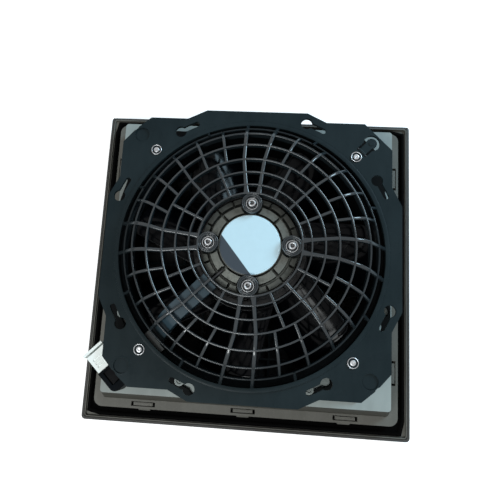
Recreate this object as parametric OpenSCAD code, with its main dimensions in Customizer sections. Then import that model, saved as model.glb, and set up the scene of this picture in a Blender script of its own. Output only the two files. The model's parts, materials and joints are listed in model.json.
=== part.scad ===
// Square cabinet fan with filter and louvred cover.
// It lies on its cover, with the fan side up. Sizes are in millimetres.
// The origin is the middle of the cover's front face, and +Z points to the fan side.

/* [Cover and housing] */
// Outside of the square cover
cover_side = 323; // [300:1:340]
// Corner radius of the cover
cover_r = 4; // [1:0.5:8]
// Thickness of the cover's front
cover_t = 2.5; // [2:0.1:4]
// Thickness of the cover's skirt
skirt_t = 2.3; // [1.5:0.1:4]
// Height of the panel seat above the cover's front
seat_z = 30; // [26:1:36]
// Width of the cover's plain border round the louvres
border_w = 23.5; // [20:0.5:40]
// Number of louvre slats
slats = 14; // [8:1:20]
// Thickness of one slat
slat_t = 2.6; // [1.5:0.1:4]
// Depth of the louvre slats
louvre_depth = 11.7; // [8:0.1:14]
// Width of the two upright bars behind the slats
mullion_w = 4; // [2:0.5:8]
// Gap between the cover's skirt and the housing's flange
flange_gap = 0.6; // [0.5:0.1:2]
// Height of the flange with its lip
flange_h = 6; // [4:0.5:10]
// Wall of the housing
wall_t = 3; // [2:0.1:5]
// Width of the flange's lip
lip_t = 1; // [0.8:0.1:3]
// Width of the flange outside the body, which goes through the panel
flange_w = 12.6; // [8:0.1:24]
// Corner radius of the body
body_r = 8; // [4:0.5:14]
// Height of the ledge above the panel seat
ledge_h = 14; // [8:0.5:20]
// Width of the ledge that carries the tray
ledge_w = 15; // [10:0.5:24]

/* [Fan tray] */
// Distance of the tray's foot from the ledge's outer edge
foot_in_by = 8.6; // [8:0.1:12]
// How far the tray's walls lean in
tray_lean = 9; // [4:0.1:14]
// Corner radius of the deck
tray_r = 3; // [2:0.5:8]
// Height of the deck above the panel seat
deck_h = 57; // [45:0.5:70]
// Radius of the round opening in the deck
deck_hole_r = 118.2; // [110:0.1:122]

/* [Fan plate] */
// Height of the plate's top above the panel seat
plate_h = 93; // [80:0.5:105]
// Thickness of the plate
plate_t = 3; // [2:0.1:5]
// Half width of the plate at its straight edges
plate_half = 119.2; // [116:0.1:124]
// Half width at the four bulges
bulge_half = 127.7; // [120:0.1:132]
// Half length of a bulge at its foot
bulge_foot = 62; // [50:1:75]
// Half length of a bulge at its crest
bulge_crest = 45; // [35:1:60]
// Corner chamfer of the plate
plate_chamfer = 23.8; // [15:0.1:30]
// Radius of the round opening in the plate
plate_hole_r = 113.9; // [105:0.1:116]
// Half distance between the four rivets
rivet_at = 88.2; // [84:0.1:92]
// Radius of a rivet's head
rivet_r = 5; // [3:0.1:6]
// Radius of the ring of keyholes in the plate
key_ring_r = 126; // [122:0.1:126]
// Turn that frees the fan unit from the studs, in degrees
bayonet_turn = 7; // [5:0.5:9]
// Half width of a keyhole's narrow part
keyhole_w = 2.4; // [1.5:0.1:3]
// Radius of a keyhole's round part
keyhole_r = 5; // [4:0.1:6]

/* [Base flange and studs] */
// Thickness of the base flange on the tray's deck
base_t = 3; // [2:0.1:4]
// Half width of the base flange at its straight edges
base_half = 121.4; // [118:0.1:124]
// Half width at its bulges
base_bulge = 126.8; // [124:0.1:128]
// Radius of the ring of studs on the deck
stud_ring_r = 127.2; // [126:0.1:129]
// Radius of a stud's head
stud_r = 4.4; // [3.5:0.1:4.6]
// Radius of a stud's stem
stem_r = 1.7; // [1.2:0.1:2]

/* [Guard] */
// Height of the guard's top above the plate
guard_h = 32; // [32:0.5:38]
// Depth of the guard's bars
bar_h = 4; // [3:0.1:6]
// Width of a single bar
bar_w = 2.2; // [1.6:0.1:4]
// Width of the paired bars
pair_w = 2.9; // [2:0.1:5]
// Sweep of the outer bars, in degrees
sweep = 8; // [0:0.5:15]

/* [Motor and impeller] */
// Radius of the circle of motor screws
motor_screw_at = 33.5; // [30:0.1:36]
// Radius of the motor's flange
motor_r = 40; // [36:0.1:42]
// Outside radius of the rotor can
can_r = 47; // [44:0.1:50]
// Radius over the blade tips
tip_r = 107; // [100:0.5:107.5]
// Number of blades
blades = 7; // [5:1:9]
// Thickness of a blade
blade_t = 2.6; // [1.5:0.1:4]
// Radius of the shaft
shaft_r = 4; // [3:0.1:6]

/* [Hidden] */
$fn = 72;
eps = 0.05;
gap = 0.3;
run_gap = 0.05;
ledge_z = seat_z + ledge_h;
deck_z = seat_z + deck_h;
plate_z = seat_z + plate_h;
plate_low = plate_z - plate_t;
guard_z = plate_z + guard_h;
cover_half = cover_side / 2;
louvre_half = cover_half - border_w;
flange_half = cover_half - skirt_t - flange_gap;
body_half = flange_half - flange_w;
ledge_half = body_half - ledge_w;
tray_foot = body_half - foot_in_by;
tray_top = tray_foot - tray_lean;
wall_low = louvre_depth + 0.8;
flange_low = seat_z - flange_h;
groove_z = flange_low + flange_h / 2;
skirt_z = seat_z - 0.8;
// Cover hinge along the far edge
knuckle_r = 2;
hinge_y = cover_half - knuckle_r - 0.6;
hinge_z = seat_z - knuckle_r - 0.1;
hinge_x = 85;
knuckle_len = 8;
ear_len = 5;
pin_r = 0.9;
// Filter, its grid and the shelf that the grid meets
shelf_w = 3.5;
shelf_t = 2;
grid_half = body_half - wall_t - gap;
grid_z = seat_z - 3;
grid_frame = 6.5;
grid_ribs = 11;
grid_rib = 2;
grid_pitch = 2 * (grid_half - grid_frame + grid_rib / 2) / (grid_ribs + 1);
filter_half = body_half - wall_t - 1;
filter_low = louvre_depth + 0.6;
// Foam seal on the flange
foam_half = hinge_y - knuckle_r - 0.4;
foam_t = 2.4;
foam_bead_in = 1.8;
foam_bead_w = 2.4;
foam_bead_h = 1.7;
// Panel clips, three on each side
clip_x = [-97, 0, 97];
clip_mid = body_half - 4.45;
slot_len = 23.3;
slot_w = 4.3;
clip_len = 19;
clip_in = body_half - 6.2;
clip_out = body_half + 2.4;
barb_len = 11.6;
barb_low = seat_z + 3;
barb_top = ledge_z - 1.8;
// Angles of the eight keyholes' narrow ends, and of the eight studs
key_angles = [25.4, 62.3, 115.4, 152.3, 205.4, 242.3, 295.4, 332.3];
stud_angles = [26.5, 63.5, 116.5, 153.5, 206.5, 243.5, 296.5, 333.5];
base_low = deck_z + gap;
base_top = base_low + base_t;
base_foot = 68;
base_crest = 48;
base_chamfer = 22;
stud_t = 2;
stud_bore_r = 2.4;
// Rivets, corner discs and lock tongue, measured along the diagonal
rivet_d = rivet_at * sqrt(2);
rivet_post_r = 6;
disc_d = 144.6;
disc_r = 6.8;
arm_root = rivet_d + 5.7;
arm_w = 7;
arm_t = 2;
lock_d = arm_root + 13;
lock_r = 7.2;
pad_r = 4.7;
tongue_pin_r = 0.7;
// Wall ring
ring_in = 108.5;
ring_out = 117.2;
ring_low = 58;
// Motor heights
fin_top = guard_z - 4.7;
flange_top = guard_z - 12;
flange_base = flange_top - 4;
boss_z = guard_z - 7;
boss_r = 8.3;
pad_motor_r = 7.4;
washer_z = guard_z - 3;
washer_r = 5.5;
washer_t = 0.8;
head_r = 3.75;
head_h = 3.2;
screw_r = 2;
label_r = 24.5;
tube_r = 14;
tube_low = 84;
bearing_r = 11;
bearing_w = 7;
bearing_t = 2.2;
bearing_top = flange_base - 10;
can_low = 80;
can_top = flange_base - 3;
can_t = 3;
board_r = 38.5;
board_low = can_top + 0.8;
board_t = 1.6;
core_r = 40.2;
core_low = can_top - 38;
core_h = 26;
core_hub_r = 20;
shoe_r = 37;
shoe_w = 17.2;
tooth_w = 5;
coil_in = 22.5;
coil_len = 13.5;
coil_w = 9.2;
coil_end = 3.5;
magnet_in = 41;
magnet_low = can_top - 41;
magnet_h = 32;
magnet_gap = 0.8;
rotor_screw_at = 22;
rotor_screw_r = 1.5;
// Impeller
hub_r = 50.5;
hub_low = 66;
hub_top = 112;
hub_t = 3;
blade_low = 62;
blade_top = 107;
camber_r = 71.3;
camber_y = 43.8;
camber_z = 36.5;
// Guard rings: inner radius, outer radius, underside, top
guard_rings = [
    [40.8, 42.8, guard_z - 6, guard_z + 1],
    [48.3, 50.2, guard_z - 4, guard_z + 0.3],
    [59.0, 61.0, guard_z - 4, guard_z],
    [70.0, 72.1, guard_z - 4.6, guard_z],
    [82.6, 84.7, guard_z - 4.6, guard_z - 0.6],
    [95.7, 97.9, guard_z - 15, guard_z - 8.4],
    [105.2, 107.4, guard_z - 28.5, guard_z - 21.2]
];
// The dome's flat part ends at this radius and its shoulder begins
shoulder_r = 84.7;
foot_in = 113.6;
foot_out = 117.4;
inner_angles = [25, 45, 65];
outer_angles = [18.5, 32, 45, 58, 71.5];
pair_half = 6.7;
stub_at = 25;
// Cable duct, in the frame of the lower left diagonal
duct_w = 15;
duct_wall = 1.5;
duct_start = 42.9;
duct_low = plate_low - 10;
side_in = 6.8;
side_out = 13.6;
lead_y = 10.2;
lead_z = duct_low + 5;
lead_r = 1.3;
// Plug connection, in the same frame
holder_in = 143;
holder_len = 22;
holder_out = holder_in + holder_len;
holder_w = 21.5;
holder_t1 = 13.5;
holder_t0 = holder_t1 - holder_w;
holder_low = plate_low - 23;
holder_wall = 2;
plug_w = 18;
plug_mid = holder_in + 12.5;
plug_in = plug_mid - plug_w / 2;
plug_out = plug_mid + plug_w / 2;
plug_len = 16.5;
plug_gap = 0.4;
plug_low = holder_low + 1;
plug_top = plate_low - 3.2;
nose_w = 12;
nose_in = plug_mid - nose_w / 2;
nose_out = plug_mid + nose_w / 2;
nose_low = plug_low + 3;
nose_top = plug_top - 2.8;
nose_len = 9;
nose_gap = 0.5;
contact_x = [plug_mid - 3.7, plug_mid, plug_mid + 3.7];
contact_z = (nose_low + nose_top) / 2;
contact_w = 1;
contact_h = 2;
contact_gap = 0.4;
contact_len = 6.5;
lever_t = 2.2;
lever_gap = 1.6;
lever_wide = 2;

shell_grey = [0.36, 0.36, 0.34];
taupe = [0.42, 0.41, 0.38];
light_grey = [0.68, 0.71, 0.70];
fan_black = [0.13, 0.15, 0.15];
silver = [0.72, 0.73, 0.74];
alu = [0.58, 0.58, 0.56];
steel = [0.55, 0.56, 0.58];
white = [0.93, 0.93, 0.90];
copper = [0.72, 0.42, 0.22];

// Square outline with round corners
module round_square(half, r) {
    square([2 * half, 2 * (half - r)], center = true);
    square([2 * (half - r), 2 * half], center = true);
    for (x = [-1, 1], y = [-1, 1])
        translate([x * (half - r), y * (half - r)]) circle(r = r);
}

// Upright block on that outline
module block(half, r, z0, z1) {
    translate([0, 0, z0]) linear_extrude(height = z1 - z0) round_square(half, r);
}

// Square frame of one height
module frame(half, r, wall, z0, z1) {
    difference() {
        block(half, r, z0, z1);
        block(half - wall, max(r - wall, 0.5), z0 - 1, z1 + 1);
    }
}

// Upright disc or tube
module tube(r_in, r_out, z0, z1) {
    translate([0, 0, z0]) difference() {
        cylinder(r = r_out, h = z1 - z0);
        if (r_in > 0)
            translate([0, 0, -1]) cylinder(r = r_in, h = z1 - z0 + 2);
    }
}

// Outline in Y and Z, drawn out along X about x = 0
module along_x(len) {
    rotate([90, 0, 90]) linear_extrude(height = len, center = true) children();
}

// Outline in X and Z, drawn out along Y about y = 0
module along_y(len) {
    rotate([90, 0, 0]) linear_extrude(height = len, center = true) children();
}

// Round bar from one point to another, with round ends
module bar_between(p, q, r) {
    d = q - p;
    len = norm(d);
    translate(p) rotate([0, acos(d[2] / len), atan2(d[1], d[0])]) cylinder(r = r, h = len);
    translate(p) sphere(r = r + 0.06, $fn = 32);
    translate(q) sphere(r = r + 0.06, $fn = 32);
}

// Cover

module slat() {
    lean = 0.68 * louvre_depth;
    along_x(2 * louvre_half)
        polygon([[0, 0], [slat_t, 0], [slat_t + lean, louvre_depth], [lean, louvre_depth]]);
}

module hinge_ear(side) {
    x = side * (knuckle_len / 2 + gap + ear_len / 2);
    translate([x, hinge_y, hinge_z]) rotate([0, 90, 0])
        cylinder(r = knuckle_r, h = ear_len, center = true);
    translate([x - ear_len / 2, hinge_y, hinge_z - knuckle_r])
        cube([ear_len, cover_half - hinge_y, knuckle_r]);
}

module louvre_cover() {
    color(shell_grey) difference() {
        union() {
            difference() {
                block(cover_half, cover_r, 0, skirt_z);
                block(cover_half - skirt_t, cover_r - 1.5, cover_t, skirt_z + 1);
                block(louvre_half, 1, -1, cover_t + 1);
                // Free edge of the skirt, lower along the hinge
                translate([-cover_half + skirt_t, hinge_y, hinge_z])
                    cube([cover_side - 2 * skirt_t, 10, 10]);
                // Room for the housing's knuckles
                for (x = [-hinge_x, hinge_x])
                    translate([x - knuckle_len / 2 - gap, hinge_y - 2, hinge_z - knuckle_r - 0.5])
                        cube([knuckle_len + 2 * gap, 10, 10]);
            }
            frame(louvre_half + 3, 4, 3, 0, louvre_depth + 0.3);
            for (x = [-hinge_x, hinge_x], s = [-1, 1])
                translate([x, 0, 0]) hinge_ear(s);
        }
        for (x = [-hinge_x, hinge_x])
            translate([x, hinge_y, hinge_z]) rotate([0, 90, 0])
                cylinder(r = pin_r, h = knuckle_len + 2 * ear_len + 4, center = true);
    }
}

module louvre_slats() {
    color(shell_grey) {
        intersection() {
            block(louvre_half, 1, 0, louvre_depth);
            for (i = [0 : slats - 1])
                translate([0, -louvre_half + 4 + i * (2 * louvre_half - 4) / slats, 0]) slat();
        }
        for (x = [-louvre_half / 3, louvre_half / 3])
            translate([x - mullion_w / 2, -louvre_half, 2])
                cube([mullion_w, 2 * louvre_half, louvre_depth - 2]);
    }
}

module hinge_pins() {
    color(steel) for (x = [-hinge_x, hinge_x])
        translate([x, hinge_y, hinge_z]) rotate([0, 90, 0])
            cylinder(r = pin_r, h = knuckle_len + 2 * ear_len, center = true);
}

// Housing

module clip_places() {
    for (a = [0, 90, 180, 270], x = clip_x)
        rotate([0, 0, a]) translate([x, 0, 0]) children();
}

module housing() {
    color(taupe) {
        difference() {
            union() {
                difference() {
                    block(flange_half, 3, flange_low, seat_z);
                    block(flange_half - lip_t, 2, groove_z, seat_z + 1);
                }
                block(body_half, body_r, wall_low, ledge_z);
            }
            block(body_half - wall_t, body_r - wall_t, wall_low - 1, ledge_z - wall_t);
            block(ledge_half, 4, wall_low, ledge_z + 1);
            clip_places() {
                translate([0, clip_mid, ledge_z]) cube([slot_len, slot_w, 2 * wall_t + 1], center = true);
                translate([-barb_len / 2 - gap, body_half - wall_t - 1, barb_low - gap])
                    cube([barb_len + 2 * gap, wall_t + 2, barb_top - barb_low + 2 * gap]);
            }
            for (x = [-hinge_x, hinge_x])
                translate([x - knuckle_len / 2 - ear_len - 2 * gap,
                    hinge_y - knuckle_r - 0.4, flange_low - 1])
                    cube([knuckle_len + 2 * ear_len + 4 * gap, 10, flange_h + 2]);
        }
        frame(body_half - wall_t + 0.5, body_r - wall_t + 0.5, shelf_w + 0.5, seat_z, seat_z + shelf_t);
        for (x = [-hinge_x, hinge_x])
            translate([x, hinge_y, hinge_z]) difference() {
                union() {
                    rotate([0, 90, 0]) cylinder(r = knuckle_r, h = knuckle_len, center = true);
                    translate([-knuckle_len / 2, -2 * knuckle_r, -knuckle_r])
                        cube([knuckle_len, 2 * knuckle_r, groove_z - hinge_z + knuckle_r]);
                }
                rotate([0, 90, 0]) cylinder(r = pin_r + run_gap, h = knuckle_len + 2, center = true);
            }
    }
}

module support_grid() {
    color(taupe) {
        frame(grid_half, 4.5, grid_frame, grid_z, seat_z);
        for (k = [1 : grid_ribs]) {
            i = k - (grid_ribs + 1) / 2;
            translate([i * grid_pitch - grid_rib / 2, -grid_half + 3, grid_z])
                cube([grid_rib, 2 * grid_half - 6, seat_z - grid_z]);
            translate([-grid_half + 3, i * grid_pitch - grid_rib / 2, grid_z])
                cube([2 * grid_half - 6, grid_rib, seat_z - grid_z]);
        }
    }
}

module filter_mat() {
    color(white) block(filter_half, 4, filter_low, grid_z);
}

module foam_seal() {
    color([0.09, 0.09, 0.09]) {
        frame(foam_half, 3, foam_half - body_half - gap, groove_z, groove_z + foam_t);
        frame(foam_half - foam_bead_in, 3, foam_bead_w, groove_z + foam_t, groove_z + foam_t + foam_bead_h);
    }
}

module panel_clips() {
    color(taupe) clip_places() {
        translate([-clip_len / 2, clip_in, seat_z + 4])
            cube([clip_len, body_half - wall_t - clip_in, ledge_h - 4]);
        along_x(barb_len)
            polygon([[body_half - wall_t - 1, barb_low], [clip_out, barb_low],
                [clip_out, barb_low + 1.5], [body_half - 1, barb_top], [body_half - wall_t - 1, barb_top]]);
    }
}

// Fan tray

// Drafted box with round corners of one radius; each corner's axis leans in with the walls.
// The corner rods are a little larger, so that they run into the walls.
module drafted(low_half, high_half, z0, z1, r) {
    k = (low_half - high_half) / (z1 - z0);
    c = r * sqrt(1 + k * k);
    side = [[-low_half, z0], [low_half, z0], [high_half, z1], [-high_half, z1]];
    core = [[-low_half + c, z0], [low_half - c, z0], [high_half - c, z1], [-high_half + c, z1]];
    intersection() {
        along_x(2 * low_half) polygon(side);
        along_y(2 * low_half) polygon(core);
    }
    intersection() {
        along_x(2 * low_half) polygon(core);
        along_y(2 * low_half) polygon(side);
    }
    intersection() {
        for (a = [45, 135, 225, 315])
            rotate([0, 0, a]) translate([(low_half - c) * sqrt(2), 0, z0])
                rotate([0, -atan(k * sqrt(2)), 0]) translate([0, 0, -r])
                    cylinder(r = r + 0.04, h = 1.1 * (z1 - z0) + 2 * r);
        translate([-low_half, -low_half, z0]) cube([2 * low_half, 2 * low_half, z1 - z0]);
    }
}

module fan_tray() {
    k = (tray_foot - tray_top) / (deck_z - ledge_z);
    inner_foot = tray_foot - wall_t;
    inner_top = tray_top - wall_t + k * wall_t;
    inner_r = max(tray_r - wall_t / 2, 0.5);
    color(light_grey) {
        difference() {
            drafted(tray_foot, tray_top, ledge_z, deck_z, tray_r);
            drafted(inner_foot, inner_top, ledge_z, deck_z - wall_t, inner_r);
            block(inner_foot, inner_r, ledge_z - 1, ledge_z + eps);
            tube(0, deck_hole_r, deck_z - wall_t - 1, deck_z + 1);
        }
        // Strengthening collar below the deck's edge
        tube(deck_hole_r, deck_hole_r + 2.5, deck_z - 9, deck_z - wall_t + 1);
    }
}

// Hollow studs with wide heads, which hold the base flange down
module tray_studs() {
    color(light_grey) for (a = stud_angles)
        rotate([0, 0, a]) translate([stud_ring_r, 0, 0]) difference() {
            union() {
                tube(0, stem_r, deck_z, base_top + gap + 0.5);
                tube(0, stud_r, base_top + gap, base_top + gap + stud_t);
            }
            tube(0, stud_bore_r, base_top + gap + 0.9, base_top + gap + stud_t + 1);
        }
}

// Fan plate

// Octagon with a bulge on each of its four long sides
module plate_outline(p, chamfer, foot, crest, bulge) {
    c = p - chamfer;
    polygon([[-c, p], [c, p], [p, c], [p, -c], [c, -p], [-c, -p], [-p, -c], [-p, c]]);
    for (a = [0, 90, 180, 270])
        rotate(a)
            polygon([[-foot, p - 5], [-foot, p], [-crest, bulge], [crest, bulge], [foot, p], [foot, p - 5]]);
}

// Cutters for keyholes that start at an angle and open into a round hole
module keyholes(angles, r, round_r, z0, z1) {
    for (a = angles) {
        rotate([0, 0, a - 0.3]) rotate_extrude(angle = bayonet_turn + 0.3)
            translate([r - keyhole_w, z0]) square([2 * keyhole_w, z1 - z0]);
        rotate([0, 0, a - 0.3]) translate([r, 0, 0]) tube(0, keyhole_w, z0, z1);
        rotate([0, 0, a + bayonet_turn]) translate([r, 0, 0]) tube(0, round_r, z0, z1);
    }
}

// Flange of the fan unit that lies on the deck, under the heads of the studs
module base_flange() {
    color(fan_black) difference() {
        translate([0, 0, base_low]) linear_extrude(height = base_t)
            plate_outline(base_half, base_chamfer, base_foot, base_crest, base_bulge);
        tube(0, ring_out, base_low - 1, base_top + 1);
        keyholes(stud_angles, stud_ring_r, stud_r + 0.6, base_low - 1, base_top + 1);
        for (a = [45, 135, 225, 315]) rotate([0, 0, a]) translate([rivet_d, 0, 0])
            tube(0, rivet_post_r, base_low - 1, base_top + 1);
    }
}

module fan_plate() {
    mid = (plate_z + plate_low) / 2;
    color(fan_black) difference() {
        union() {
            translate([0, 0, plate_low]) linear_extrude(height = plate_t)
                plate_outline(plate_half, plate_chamfer, bulge_foot, bulge_crest, bulge_half);
            for (a = [135, 225, 315])
                rotate([0, 0, a]) translate([disc_d, 0, 0])
                    tube(0, disc_r + 0.7, plate_z - 1, plate_z + 0.5);
        }
        tube(0, plate_hole_r, plate_low - 1, plate_z + 1);
        keyholes(key_angles, key_ring_r, keyhole_r, plate_low - 1, plate_z + 1);
        for (a = [45, 135, 225, 315]) rotate([0, 0, a]) translate([rivet_d, 0, plate_low - 1])
            cylinder(r = 2.45, h = plate_t + 2);
        for (a = [135, 225, 315])
            rotate([0, 0, a]) translate([disc_d, 0, 0]) tube(0, disc_r - 0.3, plate_z - 0.9, plate_z + 1);
        // Opening of the lock tongue
        rotate([0, 0, 45]) {
            translate([lock_d, 0, plate_low - 1]) cylinder(r = lock_r, h = plate_t + 2);
            translate([arm_root, -arm_w / 2 - 1.9, plate_low - 1])
                cube([lock_d - arm_root, arm_w + 3.8, plate_t + 2]);
            translate([arm_root + 1.8, 0, mid]) rotate([90, 0, 0])
                cylinder(r = tongue_pin_r, h = arm_w + 12, center = true);
        }
    }
}

module lock_tongue() {
    mid = (plate_z + plate_low) / 2;
    color(fan_black) rotate([0, 0, 45]) difference() {
        union() {
            translate([arm_root + 1.8, 0, mid]) rotate([90, 0, 0])
                cylinder(r = 1.4, h = arm_w, center = true);
            translate([arm_root + 1.8, -arm_w / 2, mid - arm_t / 2])
                cube([lock_d - arm_root - 3, arm_w, arm_t]);
            translate([lock_d, 0, mid - arm_t / 2]) cylinder(r = pad_r, h = arm_t);
            translate([lock_d, 0, plate_low - 2]) cylinder(r = 2, h = 3);
            translate([lock_d, 0, mid]) cylinder(r = 2.2, h = 1.6);
        }
        translate([arm_root + 1.8, 0, mid]) rotate([90, 0, 0])
            cylinder(r = tongue_pin_r + run_gap, h = arm_w + 2, center = true);
    }
}

module tongue_pin() {
    mid = (plate_z + plate_low) / 2;
    color(steel) rotate([0, 0, 45]) translate([arm_root + 1.8, 0, mid]) rotate([90, 0, 0])
        cylinder(r = tongue_pin_r, h = arm_w + 10, center = true);
}

module rivets() {
    color(silver) for (a = [45, 135, 225, 315])
        rotate([0, 0, a]) translate([rivet_d, 0, 0]) difference() {
            union() {
                tube(0, rivet_r, plate_z, plate_z + 1.3);
                tube(0, 2.4, plate_low - 9, plate_z + 0.5);
            }
            tube(2.7, 3.8, plate_z + 0.5, plate_z + 2);
        }
}

// Guard

// Profile of an outer bar, from the ring at the label's side to the foot on the plate
module bar_profile(r0, r1) {
    t = guard_z;
    intersection() {
        polygon([[40, t], [84, t - 0.6], [92, t - 4], [98, t - 8.9], [103, t - 15.6],
            [107.5, t - 22], [114.6, t - 31.1], [114.6, plate_z], [110.4, plate_z], [107.4, t - 27.5],
            [102.6, t - 21.5], [98.4, t - 15.4], [94, t - 9.6], [89, t - 6.2], [82, t - bar_h - 0.6],
            [40, t - bar_h]]);
        translate([r0, plate_z - 1]) square([r1 - r0, 100]);
    }
}

module swept_bar(a, w, r0, r1) {
    rotate([0, 0, a]) translate([71, 0, 0]) rotate([0, 0, -sweep]) translate([-71, 0, 0])
        along_y(w) bar_profile(r0, r1);
}

module guard_ring(g) {
    tube(g[0], g[1], g[2], g[3]);
}

// The swept bars from the fourth ring out to the last ring, the paired ones out to the foot,
// and the stubs between the last ring and the foot
module outer_bars() {
    for (q = [0, 90, 180, 270]) {
        for (a = outer_angles) swept_bar(q + a, bar_w, 71, 106.6);
        for (s = [-1, 1]) {
            swept_bar(q + s * pair_half, pair_w, 71, 115);
            swept_bar(q + s * stub_at, bar_w, guard_rings[6][0] + 1, 115);
        }
    }
}

// Flat part of the dome
module guard() {
    color(fan_black) difference() {
        union() {
            for (i = [0 : 4]) guard_ring(guard_rings[i]);
            intersection() {
                outer_bars();
                tube(0, shoulder_r, plate_z, guard_z + 2);
            }
            for (q = [0, 90, 180, 270]) {
                for (a = inner_angles) rotate([0, 0, q + a]) along_y(bar_w) bar_profile(41.8, 71);
                for (s = [-1, 1])
                    rotate([0, 0, q + s * pair_half]) along_y(pair_w) bar_profile(41.8, 71.5);
                rotate([0, 0, q]) translate([motor_screw_at, 0, 0]) tube(0, boss_r, boss_z, guard_z + 0.5);
            }
        }
        for (q = [0, 90, 180, 270]) rotate([0, 0, q]) translate([motor_screw_at, 0, 0]) {
            tube(0, washer_r + 0.4, washer_z, guard_z + 2);
            tube(0, screw_r + 0.3, boss_z - 1, guard_z);
            tube(washer_r + 1.2, washer_r + 1.9, guard_z, guard_z + 2);
        }
    }
}

// Shoulder of the dome, down to its foot on the plate
module guard_shoulder() {
    color(fan_black) {
        for (i = [5, 6]) guard_ring(guard_rings[i]);
        tube(foot_in, foot_out, plate_z, plate_z + 1.7);
        difference() {
            outer_bars();
            tube(0, shoulder_r, plate_z - 1, guard_z + 2);
        }
    }
}

// Wall ring

module wall_ring() {
    color(fan_black) difference() {
        union() {
            rotate_extrude() polygon([[ring_in, 66], [111.5, ring_low + 1.5], [ring_out, ring_low],
                [ring_out, plate_low], [plate_hole_r, plate_low],
                [plate_hole_r, plate_low - 5], [ring_in, plate_low - 9]]);
            for (a = [45, 135, 225, 315]) rotate([0, 0, a]) {
                translate([rivet_d, 0, 0]) tube(0, rivet_post_r, base_low, plate_low);
                translate([ring_out - 1.5, -3, base_top])
                    cube([rivet_d - ring_out, 6, plate_low - base_top]);
            }
        }
        for (a = [45, 135, 225, 315])
            rotate([0, 0, a]) translate([rivet_d, 0, 0]) tube(0, 2.45, plate_low - 9, plate_low + 1);
        // Way out for the cable duct
        rotate([0, 0, 225]) translate([ring_in - 3, -duct_w / 2 - gap, duct_low - gap])
            cube([ring_out - ring_in + 4.2, duct_w / 2 + side_out + 2 * gap, 20]);
    }
}

// Cable duct and lead

// Side view of the duct; the inner one is smaller by the wall
module duct_side(w) {
    t = guard_z;
    polygon([[duct_start - w, t - 4.9 - w], [80, t - 5.4 - w], [87.5 - w / 2, t - 8.6 - w],
        [93.5 - w, t - 14.2 - w], [98.5 - w, t - 21.2 - w], [103.5 - w, t - 28.8 - w],
        [108.9 - w, plate_low - w], [117.9 + w, plate_low - w], [117.9 + w, duct_low + w],
        [108 - w / 3, duct_low + w], [104.5 + w, duct_low + 2 + w], [99.5 + w, t - 35.5 + w],
        [95 + w, t - 28.5 + w], [90 + w, t - 21.5 + w], [85, t - 16 + w], [78, t - 13 + w],
        [duct_start - w, t - 12.5 + w]]);
}

module cable_duct() {
    color([0.30, 0.33, 0.35]) rotate([0, 0, 225]) difference() {
        union() {
            along_y(duct_w) duct_side(0);
            translate([108.9, side_in - 2, duct_low])
                cube([holder_in - 108.9, side_out - side_in + 2, plate_low - duct_low]);
        }
        along_y(duct_w - 2 * duct_wall) duct_side(duct_wall);
        translate([110.4, side_in - 3, duct_low + duct_wall])
            cube([holder_in - 110.4 + 1, side_out - side_in + 3 - duct_wall,
                plate_low - duct_low - 2 * duct_wall]);
        // Room for the rivet's post
        translate([rivet_d, 0, 100]) cylinder(r = rivet_post_r + 0.2, h = 30);
    }
}

module motor_lead() {
    t = guard_z;
    route = [[30, 0, t - 8.8], [80.5, 0, t - 9.4], [89.8, 0, t - 15.1], [106.9, 0, lead_z + 0.3],
        [111.8, 1, lead_z], [114.6, lead_y, lead_z], [148, lead_y, lead_z]];
    color([0.07, 0.07, 0.07]) rotate([0, 0, 225])
        for (i = [0 : len(route) - 2]) bar_between(route[i], route[i + 1], lead_r);
}

// Plug connection

module plug_holder() {
    color([0.20, 0.21, 0.21]) rotate([0, 0, 225]) difference() {
        union() {
            translate([holder_in, holder_t0, holder_low])
                cube([holder_out - holder_in, holder_t1 - holder_t0, plate_low - 1.2 - holder_low]);
            translate([holder_in, holder_t0, plate_low - 3]) cube([6, holder_t1 - holder_t0, 3]);
        }
        translate([holder_in + holder_wall, holder_t0 - 1, holder_low + holder_wall])
            cube([holder_out - holder_in - 2 * holder_wall, holder_t1 - holder_t0 - 1,
                plate_low - holder_low - 5]);
        translate([plug_mid - 3, holder_t0 + 2.2, plate_low - 6]) cube([8.6, 13, 10]);
        translate([holder_in - 1, lead_y - 2, lead_z - 2]) cube([4, 4, 4]);
        translate([holder_out - 5.5, holder_t1 - 5.5, holder_low - 1]) difference() {
            cube([7, 7, 30]);
            translate([0, 0, -1]) cylinder(r = 5.5, h = 32);
        }
    }
}

module plug_socket() {
    x0 = holder_in + holder_wall;
    z0 = holder_low + holder_wall;
    color([0.04, 0.04, 0.05]) rotate([0, 0, 225]) difference() {
        translate([x0, holder_t0 + 0.5, z0])
            cube([holder_out - holder_wall - x0, nose_len + 5, plate_low - 3 - z0]);
        translate([nose_in - nose_gap, holder_t0 - 1, nose_low - nose_gap])
            cube([nose_w + 2 * nose_gap, nose_len + 2, nose_top - nose_low + 2 * nose_gap]);
    }
}

module socket_pins() {
    color(silver) rotate([0, 0, 225]) for (x = contact_x)
        translate([x - contact_w / 2, holder_t0 + nose_len + 1 - contact_len, contact_z - contact_h / 2])
            cube([contact_w, contact_len, contact_h]);
}

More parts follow.
